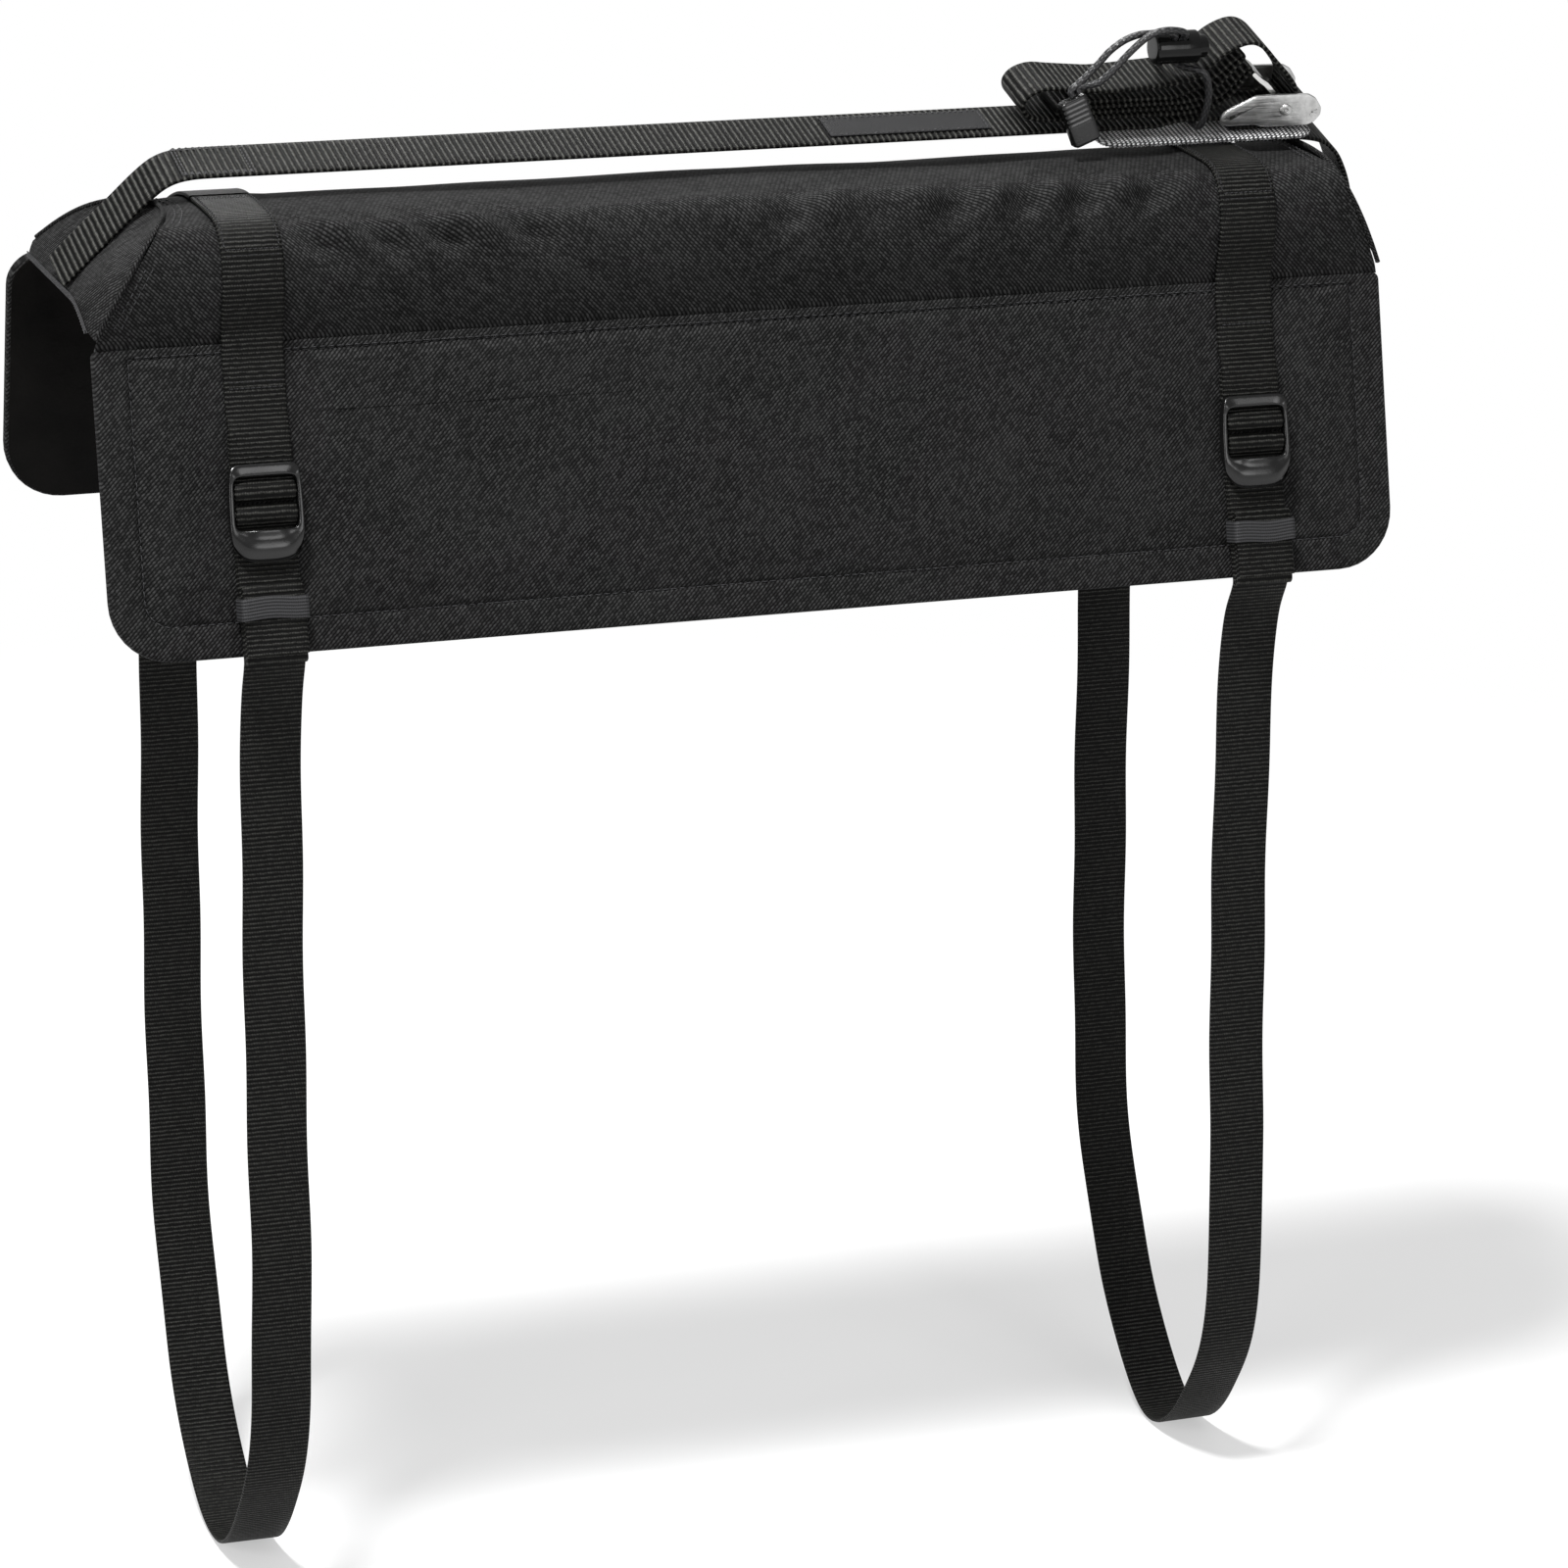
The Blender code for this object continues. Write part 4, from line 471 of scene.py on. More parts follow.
def add_web(name, path, across, finish, width=WEB_WIDTH, thickness=WEB_THICKNESS, wrap=False, body="pad"):
    """Webbing: a flat section with round selvedges carried along a path."""
    path = np.asarray(path, float)
    across = np.broadcast_to(unit(np.asarray(across, float)), path.shape)
    if wrap:
        way = np.roll(path, -1, axis=0) - np.roll(path, 1, axis=0)
    else:
        way = np.gradient(path, axis=0)
    out = unit(np.cross(way, across))
    section = web_profile(width, thickness)
    grid = path[:, None] + section[None, :, :1] * across[:, None] + section[None, :, 1:] * out[:, None]
    line = np.vstack([path, path[:1]]) if wrap else path
    run = run_along(line)
    u = np.append(section[:, 0], section[0, 0])
    uv = np.stack(np.meshgrid(u, run), axis=-1)
    return add_surface(name, grid, finish, uv, wrap_rows=wrap, capped=not wrap, body=body)


def stitch_grid(line, out, pitch, thread, lift=0.0, share=0.80):
    """Stitches along a line as short bowed threads: an (n, 5, 6, 3) array of points."""
    run = run_along(line)
    count = max(1, int(run[-1] / pitch))
    start = (np.arange(count) + 0.5 * (1 - share)) * run[-1] / count
    marks = start[:, None] + np.linspace(0, 1, 5)[None] * share * run[-1] / count
    place = np.stack([np.interp(marks, run, line[:, k]) for k in range(3)], axis=-1)
    normal = unit(np.stack([np.interp(marks, run, out[:, k]) for k in range(3)], axis=-1))
    way = unit(np.gradient(place, axis=1))
    side = unit(np.cross(way, normal))
    bow = np.array([-0.9, 0.10, 0.42, 0.10, -0.9]) * thread
    width = np.array([0.55, 0.95, 1.0, 0.95, 0.55]) * thread / 2
    centre = place + normal * (lift + bow)[None, :, None]
    angle = np.linspace(0, 2 * math.pi, 6, endpoint=False)
    ring = (np.cos(angle)[None, None, :, None] * side[:, :, None]
            + np.sin(angle)[None, None, :, None] * normal[:, :, None])
    return centre[:, :, None] + width[None, :, None, None] * ring


def add_stitches(name, rows, finish, body="pad"):
    """All the stitches of several rows as one piece."""
    grids = np.concatenate(rows)
    count = len(grids)
    quads = grid_quads(5, 6, False, True)[0]
    base = np.arange(count)[:, None, None] * 30
    faces = (quads[None] + base).reshape(-1, 4)
    ends = [tuple(k * 30 + np.arange(6)) for k in range(count)]
    ends += [tuple(k * 30 + 24 + np.arange(6)) for k in range(count)]
    return add_mesh(name, grids, faces, finish, body, ends)


# Finishes

def add_node(tree, kind, inputs=None, **settings):
    """Adds a node, sets its settings, and sets or links its inputs by name or number."""
    node = tree.nodes.new(kind)
    for key, value in settings.items():
        setattr(node, key, value)
    for key, value in (inputs or {}).items():
        if isinstance(value, bpy.types.NodeSocket):
            tree.links.new(value, node.inputs[key])
        else:
            node.inputs[key].default_value = value
    return node


def start_finish(name, colour, roughness, metallic=0.0, **sockets):
    """A Principled material with its plain values; gives the material, its tree and its shader."""
    material = bpy.data.materials.new(name)
    material.use_nodes = True
    shader = material.node_tree.nodes["Principled BSDF"]
    shader.inputs["Base Color"].default_value = (*colour, 1.0)
    shader.inputs["Roughness"].default_value = roughness
    shader.inputs["Metallic"].default_value = metallic
    for key, value in sockets.items():
        shader.inputs[key.replace("_", " ")].default_value = value
    return material, material.node_tree, shader


def shades(tree, factor, dark, light, low=0.0, high=1.0):
    """Two colours mixed by a factor, through a ramp from low to high."""
    ramp = add_node(tree, "ShaderNodeValToRGB", {0: factor})
    ramp.color_ramp.elements[0].position = low
    ramp.color_ramp.elements[0].color = (*dark, 1.0)
    ramp.color_ramp.elements[1].position = high
    ramp.color_ramp.elements[1].color = (*light, 1.0)
    return ramp.outputs[0]


def maths(tree, operation, first, second=0.0, third=0.0):
    """One step of arithmetic."""
    return add_node(tree, "ShaderNodeMath", {0: first, 1: second, 2: third}, operation=operation).outputs[0]


def weave_uv(tree):
    """The piece's own UV, in metres, as separate u and v."""
    coordinates = add_node(tree, "ShaderNodeUVMap", uv_map="weave")
    parts = add_node(tree, "ShaderNodeSeparateXYZ", {0: coordinates.outputs[0]})
    return coordinates.outputs[0], parts.outputs[0], parts.outputs[1]


def wave_of(tree, value, pitch, phase=0.0):
    """A sine from 0 to 1 with the given pitch."""
    turned = maths(tree, "MULTIPLY_ADD", value, 2 * math.pi / pitch, phase)
    return maths(tree, "MULTIPLY_ADD", maths(tree, "SINE", turned), 0.5, 0.5)


def set_bump(tree, shader, height, distance, strength=1.0, before=None):
    """Bump of a real height in metres."""
    inputs = {"Height": height, "Distance": distance, "Strength": strength}
    if before is not None:
        inputs["Normal"] = before
    bump = add_node(tree, "ShaderNodeBump", inputs)
    tree.links.new(bump.outputs[0], shader.inputs["Normal"])
    return bump.outputs[0]


def scaled(colour, factor):
    """A colour made lighter or darker."""
    return tuple(min(1.0, c * factor) for c in colour)


def twill_cloth(name):
    """600 denier polyester twill: dull black, its diagonal lines broken into short floats of varied grey."""
    tone = tuple(colours().cloth)
    material, tree, shader = start_finish(name, tone, 0.80, Specular_IOR_Level=0.05)
    coordinates, u, v = weave_uv(tree)
    pitch = sizes().twill
    noise = add_node(tree, "ShaderNodeTexNoise", {"Vector": coordinates, "Scale": 500.0, "Detail": 1.0})
    jitter = maths(tree, "MULTIPLY_ADD", noise.outputs[0], 0.0006, -0.0003)
    slant = maths(tree, "MULTIPLY", maths(tree, "ADD", maths(tree, "ADD", u, v), jitter), math.sqrt(0.5))
    along = maths(tree, "MULTIPLY", maths(tree, "SUBTRACT", u, v), math.sqrt(0.5))
    row = maths(tree, "FLOOR", maths(tree, "DIVIDE", slant, pitch))
    stagger = maths(tree, "MULTIPLY_ADD", row, 0.37 * pitch, along)
    cell = maths(tree, "FLOOR", maths(tree, "DIVIDE", stagger, 1.5 * pitch))
    lines = wave_of(tree, slant, pitch, -math.pi / 2)
    floats = wave_of(tree, stagger, 1.5 * pitch, -math.pi / 2)
    place = add_node(tree, "ShaderNodeCombineXYZ", {0: row, 1: cell})
    fleck = add_node(tree, "ShaderNodeTexWhiteNoise", {0: place.outputs[0]}, noise_dimensions="2D")
    threads = maths(tree, "MULTIPLY", lines, maths(tree, "MULTIPLY_ADD", floats, 0.6, 0.4))
    varied = maths(tree, "MULTIPLY", threads, maths(tree, "MULTIPLY_ADD", fleck.outputs[0], 1.1, 0.45))
    patches = add_node(tree, "ShaderNodeTexNoise", {"Vector": coordinates, "Scale": 22.0, "Detail": 3.0})
    tint = maths(tree, "MULTIPLY_ADD", patches.outputs[0], 0.24, -0.12)
    shade = shades(tree, maths(tree, "ADD", varied, tint), scaled(tone, 0.30), scaled(tone, 4.3), 0.0, 1.0)
    tree.links.new(shade, shader.inputs["Base Color"])
    set_bump(tree, shader, threads, 0.00030, 0.7)
    return material


def coated_lining(name):
    """Polyurethane coated polyester: smooth, nearly black and faintly shiny, with a fine grid."""
    tone = tuple(colours().lining)
    material, tree, shader = start_finish(name, tone, 0.45, Specular_IOR_Level=0.06)
    place = add_node(tree, "ShaderNodeTexCoord").outputs["Object"]
    noise = add_node(tree, "ShaderNodeTexNoise", {"Vector": place, "Scale": 45.0, "Detail": 5.0})
    fine = add_node(tree, "ShaderNodeTexNoise", {"Vector": place, "Scale": 900.0, "Detail": 1.0})
    shade = shades(tree, noise.outputs[0], scaled(tone, 0.5), scaled(tone, 1.4), 0.3, 0.7)
    tree.links.new(shade, shader.inputs["Base Color"])
    mixed = maths(tree, "MULTIPLY_ADD", fine.outputs[0], 0.12, noise.outputs[0])
    set_bump(tree, shader, mixed, 0.0009, 0.7)
    return material


def ribbed_web(name, pitch, thread_pitch, crest_highlight, depth, gloss=0.55, specular=0.18):
    """Nylon webbing: ribs across the strap, each a row of short twisted threads, with a painted highlight on
    each rib's crest and painted shade in the grooves between ribs.
    """
    tone = tuple(colours().webbing)
    material, tree, shader = start_finish(name, tone, gloss, Specular_IOR_Level=specular)
    coordinates, u, v = weave_uv(tree)
    noise = add_node(tree, "ShaderNodeTexNoise", {"Vector": coordinates, "Scale": 320.0, "Detail": 2.0})
    jitter = maths(tree, "MULTIPLY_ADD", noise.outputs[0], 0.0007, -0.00035)
    placed = maths(tree, "ADD", v, jitter)
    rib = wave_of(tree, placed, pitch)
    row = maths(tree, "FLOOR", maths(tree, "DIVIDE", placed, pitch))
    shift = maths(tree, "MULTIPLY", row, 1.9)
    warp = maths(tree, "MULTIPLY_ADD", u, 2 * math.pi / thread_pitch, shift)
    dash = maths(tree, "MULTIPLY_ADD", maths(tree, "SINE", warp), 0.5, 0.5)
    thread = maths(tree, "FLOOR", maths(tree, "DIVIDE", warp, 2 * math.pi))
    place = add_node(tree, "ShaderNodeCombineXYZ", {0: row, 1: thread})
    fleck = add_node(tree, "ShaderNodeTexWhiteNoise", {0: place.outputs[0]}, noise_dimensions="2D")
    crest = maths(tree, "POWER", rib, 2.2)
    threads = maths(tree, "MULTIPLY", crest, maths(tree, "MULTIPLY_ADD", dash, 0.45, 0.55))
    varied = maths(tree, "MULTIPLY", threads, maths(tree, "MULTIPLY_ADD", fleck.outputs[0], 0.7, 0.65))
    slow = add_node(tree, "ShaderNodeTexNoise", {"Vector": coordinates, "Scale": 60.0, "Detail": 2.0})
    factor = maths(tree, "ADD", varied, maths(tree, "MULTIPLY_ADD", slow.outputs[0], 0.20, -0.10))
    # Painted highlight and shade: the rib crests are painted bright and the grooves dark; the flecks are
    # random tone of the threads.
    shade = shades(tree, factor, scaled(tone, 0.30), scaled(tone, crest_highlight), 0.08, 0.95)
    tree.links.new(shade, shader.inputs["Base Color"])
    set_bump(tree, shader, threads, depth)
    return material


def braided_elastic(name):
    """Knitted elastic: flat cord rows along the band with a faint cross rib."""
    tone = linear("#232324")
    material, tree, shader = start_finish(name, tone, 0.62, Specular_IOR_Level=0.15)
    u, v = weave_uv(tree)[1:]
    rows = wave_of(tree, u, 0.0013)
    cross = wave_of(tree, v, 0.0009)
    height = maths(tree, "MULTIPLY_ADD", cross, 0.35, rows)
    shade = shades(tree, height, scaled(tone, 0.6), scaled(tone, 2.0), 0.2, 1.3)
    tree.links.new(shade, shader.inputs["Base Color"])
    set_bump(tree, shader, height, 0.0002)
    return material


def braided_cord(name):
    """Elastic cord in a braided sleeve: crossing strands that run round at a steep angle."""
    tone = linear("#1D1D1E")
    material, tree, shader = start_finish(name, tone, 0.38, Specular_IOR_Level=0.35)
    u, v = weave_uv(tree)[1:]
    turn = 2 * math.pi * 0.0015 / 6
    first = wave_of(tree, maths(tree, "ADD", u, maths(tree, "MULTIPLY", v, 0.45)), turn)
    second = wave_of(tree, maths(tree, "SUBTRACT", u, maths(tree, "MULTIPLY", v, 0.45)), turn)
    strands = maths(tree, "MULTIPLY", first, second)
    shade = shades(tree, strands, scaled(tone, 0.6), scaled(tone, 3.0), 0.0, 1.0)
    tree.links.new(shade, shader.inputs["Base Color"])
    set_bump(tree, shader, strands, 0.00018)
    return material


def knitted_pad(name):
    """Grey acrylic knit: rows of slanted loops, each row staggered, with painted shade in the gaps between
    them.
    """
    tone = tuple(colours().knit)
    material, tree, shader = start_finish(name, tone, 0.85, Specular_IOR_Level=0.15, Sheen_Weight=0.1)
    coordinates, u, v = weave_uv(tree)
    pitch = sizes().knit
    row = maths(tree, "FLOOR", maths(tree, "DIVIDE", u, 0.7 * pitch))
    stagger = maths(tree, "MULTIPLY_ADD", row, 0.62 * pitch, v)
    slope = maths(tree, "MULTIPLY_ADD", u, 0.5, stagger)
    loops = wave_of(tree, slope, pitch)
    legs = wave_of(tree, u, 0.7 * pitch, -math.pi / 2)
    yarn = maths(tree, "MULTIPLY", loops, maths(tree, "MULTIPLY_ADD", legs, 0.7, 0.3))
    noise = add_node(tree, "ShaderNodeTexNoise", {"Vector": coordinates, "Scale": 1500.0, "Detail": 2.0})
    factor = maths(tree, "ADD", yarn, maths(tree, "MULTIPLY_ADD", noise.outputs[0], 0.36, -0.18))
    # Painted shade: the gaps between the loops are painted nearly black.
    shade = shades(tree, factor, scaled(tone, 0.06), scaled(tone, 3.4), 0.12, 0.85)
    tree.links.new(shade, shader.inputs["Base Color"])
    set_bump(tree, shader, yarn, 0.0007)
    return material


def moulded_acetal(name, roughness=0.28, texture=0.00005, specular=0.22):
    """Injection-moulded acetal: black, satin, with a very fine spark-eroded grain."""
    tone = tuple(colours().plastic)
    material, tree, shader = start_finish(name, tone, roughness, Specular_IOR_Level=specular)
    place = add_node(tree, "ShaderNodeTexCoord").outputs["Object"]
    grain = add_node(tree, "ShaderNodeTexNoise", {"Vector": place, "Scale": 1600.0, "Detail": 2.0})
    worn = add_node(tree, "ShaderNodeTexNoise", {"Vector": place, "Scale": 120.0, "Detail": 4.0})
    rough = maths(tree, "MULTIPLY_ADD", worn.outputs[0], 0.16, roughness - 0.08)
    tree.links.new(rough, shader.inputs["Roughness"])
    set_bump(tree, shader, grain.outputs[0], texture)
    return material


def brushed_zinc(name):
    """Die-cast zinc, tumbled and brushed along its length: grey metal with long fine scratches."""
    tone = tuple(colours().metal)
    material, tree, shader = start_finish(name, tone, 0.34, 1.0)
    place = add_node(tree, "ShaderNodeTexCoord").outputs["Object"]
    drawn = add_node(tree, "ShaderNodeMapping", {"Vector": place, "Scale": (60.0, 1400.0, 1400.0)})
    lines = add_node(tree, "ShaderNodeTexNoise", {"Vector": drawn.outputs[0], "Scale": 1.0, "Detail": 4.0})
    pits = add_node(tree, "ShaderNodeTexNoise", {"Vector": place, "Scale": 500.0, "Detail": 4.0})
    mottle = add_node(tree, "ShaderNodeTexNoise", {"Vector": place, "Scale": 180.0, "Detail": 5.0})
    shade = shades(tree, mottle.outputs[0], scaled(tone, 0.62), scaled(tone, 1.1), 0.3, 0.7)
    tree.links.new(shade, shader.inputs["Base Color"])
    rough = maths(tree, "MULTIPLY_ADD", lines.outputs[0], 0.35, 0.18)
    tree.links.new(rough, shader.inputs["Roughness"])
    set_bump(tree, shader, maths(tree, "ADD", lines.outputs[0], pits.outputs[0]), 0.00012)
    return material


def chrome_plate(name):
    """Nickel-chrome plate over zinc: bright, with a slight ripple from the casting."""
    material, tree, shader = start_finish(name, linear("#D8D8D6"), 0.16, 1.0)
    place = add_node(tree, "ShaderNodeTexCoord").outputs["Object"]
    wavy = add_node(tree, "ShaderNodeTexNoise", {"Vector": place, "Scale": 160.0, "Detail": 2.0})
    rough = maths(tree, "MULTIPLY_ADD", wavy.outputs[0], 0.16, 0.08)
    tree.links.new(rough, shader.inputs["Roughness"])
    set_bump(tree, shader, wavy.outputs[0], 0.00020)
    return material


def spring_steel(name):
    """Drawn spring wire: grey steel with lines along the wire."""
    material, tree, shader = start_finish(name, linear("#A9AAAC"), 0.30, 1.0)
    place = add_node(tree, "ShaderNodeTexCoord").outputs["Object"]
    noise = add_node(tree, "ShaderNodeTexNoise", {"Vector": place, "Scale": 900.0, "Detail": 3.0})
    rough = maths(tree, "MULTIPLY_ADD", noise.outputs[0], 0.25, 0.18)
    tree.links.new(rough, shader.inputs["Roughness"])
    set_bump(tree, shader, noise.outputs[0], 0.00004)
    return material


def open_foam(name):
    """Closed-cell polyethylene foam: dark grey with small cells."""
    tone = linear("#4A4A4C")
    material, tree, shader = start_finish(name, tone, 0.9, Specular_IOR_Level=0.1)
    place = add_node(tree, "ShaderNodeTexCoord").outputs["Object"]
    cells = add_node(tree, "ShaderNodeTexVoronoi", {"Vector": place, "Scale": 800.0})
    shade = shades(tree, cells.outputs[0], scaled(tone, 0.5), scaled(tone, 1.3))
    tree.links.new(shade, shader.inputs["Base Color"])
    set_bump(tree, shader, cells.outputs[0], 0.0004)
    return material


def woven_satin(name):
    """Woven damask label: tight satin with a faint horizontal thread."""
    tone = linear("#161617")
    material, tree, shader = start_finish(name, tone, 0.5, Specular_IOR_Level=0.15)
    u, v = weave_uv(tree)[1:]
    rows = wave_of(tree, u, 0.0006)
    picks = wave_of(tree, maths(tree, "MULTIPLY_ADD", u, 0.5, v), 0.0011)
    height = maths(tree, "MULTIPLY", rows, picks)
    shade = shades(tree, height, scaled(tone, 0.6), scaled(tone, 1.9))
    tree.links.new(shade, shader.inputs["Base Color"])
    set_bump(tree, shader, height, 0.00012)
    return material


def sewing_thread(name, code="#2C2C2D"):
    """Bonded polyester thread: twisted, a little lighter than the cloth."""
    tone = linear(code)
    material, tree, shader = start_finish(name, tone, 0.5, Specular_IOR_Level=0.12)
    place = add_node(tree, "ShaderNodeTexCoord").outputs["Object"]
    noise = add_node(tree, "ShaderNodeTexNoise", {"Vector": place, "Scale": 2500.0, "Detail": 1.0})
    shade = shades(tree, noise.outputs[0], scaled(tone, 0.6), scaled(tone, 1.6), 0.3, 0.7)
    tree.links.new(shade, shader.inputs["Base Color"])
    set_bump(tree, shader, noise.outputs[0], 0.00012)
    return material


FINISHES = {}


def finish(kind, *values):
    """The material of a kind, made once."""
    key = kind.__name__ + str(values)
    if key not in FINISHES:
        FINISHES[key] = kind(kind.__name__, *values)
    return FINISHES[key]


def fine_web():
    """Webbing of the tailgate straps, with ribs drawn coarser than the real ones so that they show."""
    # 7.5 is how bright the painted highlight on the rib crests is, as a share of the webbing's colour.
    return finish(ribbed_web, sizes().fine_rib, 0.0011, 7.5, 0.00045, 0.5, 0.07)


def heavy_web():
    """Thicker webbing of the cinch strap, with wide ribs, each with a painted highlight on its crest."""
    # 15.0 is how bright the painted highlight on the rib crests is, as a share of the webbing's colour.
    return finish(ribbed_web, sizes().heavy_rib, 0.0009, 15.0, 0.0007, 0.50, 0.06)


# Roll and gussets

def gathers(x, along):
    """Depth of the gathers: scoops that pull in the roll's front top edge, ridges between, creases below."""
    strap = np.clip((np.abs(np.abs(x) - STRAP_X) - WEB_WIDTH / 2) / 0.010, 0.0, 1.0)
    ends = np.clip((PAD_LENGTH / 2 - 0.012 - np.abs(x)) / 0.02, 0.0, 1.0)
    depth = np.zeros(np.broadcast(x, along).shape)
    reach = np.where(along > 0.240, 0.075, 0.045)
    for place, size, half in GATHERS * [MM, MM, MM]:
        slant = 0.13 if place < 0 else -0.05
        middle = place + slant * (0.25 - along)
        narrow = half * (0.70 + 0.75 * np.clip((along - 0.19) / 0.14, 0.0, 1.0))
        depth += size * np.exp(-((x - middle) / narrow) ** 2) * np.exp(-((along - 0.240) / reach) ** 2)
        lower = middle + 0.45 * half + 0.005 * np.sin(along * 34 + place * 90)
        crease = np.exp(-((x - lower) / (0.45 * half)) ** 2) * np.exp(-((along - 0.130) / 0.050) ** 2)
        depth += 0.16 * size * crease
    for place, size, half in RIDGES * [MM, MM, MM]:
        slant = 0.13 if place < 0 else -0.05
        middle = place + slant * (0.25 - along)
        depth -= size * np.exp(-((x - middle) / half) ** 2) * np.exp(-((along - 0.262) / 0.042) ** 2)
    return depth * strap * ends * sizes().gather


def roll_surface(stations, count, offset):
    """Grid over the roll: rows along X, columns round its section, with gathers and slack cloth."""
    section = roll_outline(count, offset)
    slope = np.gradient(roll_outline(count), axis=0)
    out = unit(np.stack([-slope[:, 1], slope[:, 0]], axis=1))
    share = np.linspace(-1.0, 1.0, stations)[:, None]
    x = np.where(share < 0, share * end_position(-1, count), share * end_position(1, count))
    along = np.linspace(0.0, 1.0, count)[None, :]
    strap = smoothstep((np.abs(np.abs(x) - STRAP_X) - WEB_WIDTH / 2) / 0.012)
    slack = 0.0007 * ripple(x / 0.022, along * 14, 3) + 0.0003 * ripple(x / 0.007, along * 30, 8)
    slack = (slack - 0.0006) * strap * np.sin(math.pi * along) ** 0.5
    seam = 0.0010 * (np.exp(-(along / 0.02) ** 2) + np.exp(-((1 - along) / 0.02) ** 2))
    tuck = 0.0016 * np.clip(1 - np.minimum(along, 1 - along) / 0.012, 0.0, 1.0)
    square = 0.0030 * strap * np.exp(-((along - 0.265) / 0.055) ** 2)
    sink = slack + square - gathers(x, along) - seam
    y = section[:, 0] + sink * out[:, 0]
    z = section[:, 1] + sink * out[:, 1] - tuck
    return np.stack([x, y, z], axis=-1)


def saddle_grid(count=260, rows=90):
    """Lining under the roll: flat where it rests, turned down to the front seam, with faint drag lines."""
    front = smooth_line([(SADDLE_FRONT + 0.0018, -0.0108), (SADDLE_FRONT + 0.009, -0.0088),
                         (SADDLE_FRONT + 0.019, -0.0032), (SADDLE_FRONT + 0.027, -0.0003)], step=0.0012)
    level = [(SADDLE_FRONT + 0.028, 0.0), (SADDLE_REAR - 0.0085, 0.0)]
    line = spaced(np.vstack([front[:-1], level]), count=rows)
    x = np.linspace(-PAD_LENGTH / 2 + 0.002, PAD_LENGTH / 2 - 0.002, count)[:, None]
    drag = 0.00012 * ripple(x / 0.012, line[None, :, 0] / 0.020, 17)
    y = np.broadcast_to(line[:, 0], drag.shape)
    return np.stack([np.broadcast_to(x, drag.shape), y, line[None, :, 1] + np.abs(drag)], axis=-1)


class PAD_OT_roll(bpy.types.Operator):
    """Gathered cloth cover of the roll, with its foam and saddle lining."""

    bl_idname = "pad.roll"
    bl_label = "Roll"

    def execute(self, context):
        stations, count = 441, 104
        outer = roll_surface(stations, count, 0.0)
        inner = roll_surface(stations, count, -COVER_THICKNESS)
        run = np.broadcast_to(run_along(roll_outline(count)), (stations, count))
        uv = np.stack([outer[:, :, 0], run], axis=-1)
        cover = add_shell("roll_cloth", outer, inner, finish(twill_cloth), uv)
        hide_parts("roll_cover")
        under = saddle_grid()
        uv = under[..., :2]
        lining = add_shell("saddle_cloth", under + np.array([0.0, 0.0, LINING_THICKNESS]), under,
                           finish(coated_lining), uv)
        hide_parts("saddle_lining")
        bed = [(SADDLE_REAR - 0.006, 0.0030), (SADDLE_REAR - 0.0085, 0.0012), (SADDLE_FRONT + 0.027, 0.0012),
               (SADDLE_FRONT + 0.017, -0.0012), (SADDLE_FRONT + 0.0075, -0.0070)]
        bed = spaced(np.array(bed), count=60)
        inside = roll_surface(stations, count, -COVER_THICKNESS - 0.0008)[:, 6:-6]
        left, right = (np.minimum(end_position(side, count)[6:-6] - 0.004, PAD_LENGTH / 2 - 0.014)
                       for side in (-1, 1))
        ends = np.clip(inside[:, :, 0], -left, right)[..., None]
        crown = np.concatenate([ends, inside[:, :, 1:]], axis=-1)
        level = np.broadcast_to(crown[:, :1, :1], (stations, len(bed), 1))
        floor = np.concatenate([level, np.broadcast_to(bed, (stations, len(bed), 2))], axis=-1)
        loop = np.concatenate([crown, floor], axis=1)
        padding = add_surface("roll_padding", loop, finish(open_foam))
        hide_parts("roll_foam_core")
        return {"FINISHED"}


def gusset_grid(side, offset, count=96, rows=40):
    """Gusset from the cover's end edge down to the saddle, bulging a little, at an offset outwards."""
    section = roll_outline(count)
    along = np.linspace(0.0, 1.0, count)
    top = np.stack([end_position(side, count), section[:, 0], section[:, 1]], axis=1)
    y = SADDLE_FRONT + 0.003 + along * (SADDLE_REAR - SADDLE_FRONT - 0.006)
    dip = np.clip((SADDLE_FRONT + 0.027 - y) / 0.027, 0.0, 1.0)
    z = -(FRONT_SEAM_DROP - 0.002) * dip ** 1.4 + 0.0008
    bottom = np.stack([np.full(count, PAD_LENGTH / 2 - 0.001), y, z], axis=1)
    share = np.linspace(0.0, 1.0, rows)[:, None, None]
    keep = slice(2, count - 2)
    grid = top[None, keep] * (1 - share) + bottom[None, keep] * share
    lobe = np.sin(math.pi * share[..., 0]) * np.sin(math.pi * along[keep])
    bulge = 0.003 if side > 0 else 0.0012
    crumple = 0.0006 * ripple(grid[..., 1] / 0.008, grid[..., 2] / 0.009, 5 + side) * lobe
    if side < 0:
        fold = np.exp(-((grid[..., 2] - 0.45 * (grid[..., 1] + 0.050) - 0.010) / 0.0035) ** 2)
        small = ripple(grid[..., 1] / 0.014, grid[..., 2] / 0.006, 9)
        crumple = np.abs(crumple) + (0.0022 * fold + 0.0010 * np.abs(small)) * lobe
    grid[..., 0] += bulge * lobe + GAP + offset + crumple
    grid[..., 2] += 0.5 * bulge * lobe
    return grid * np.array([side, 1.0, 1.0])


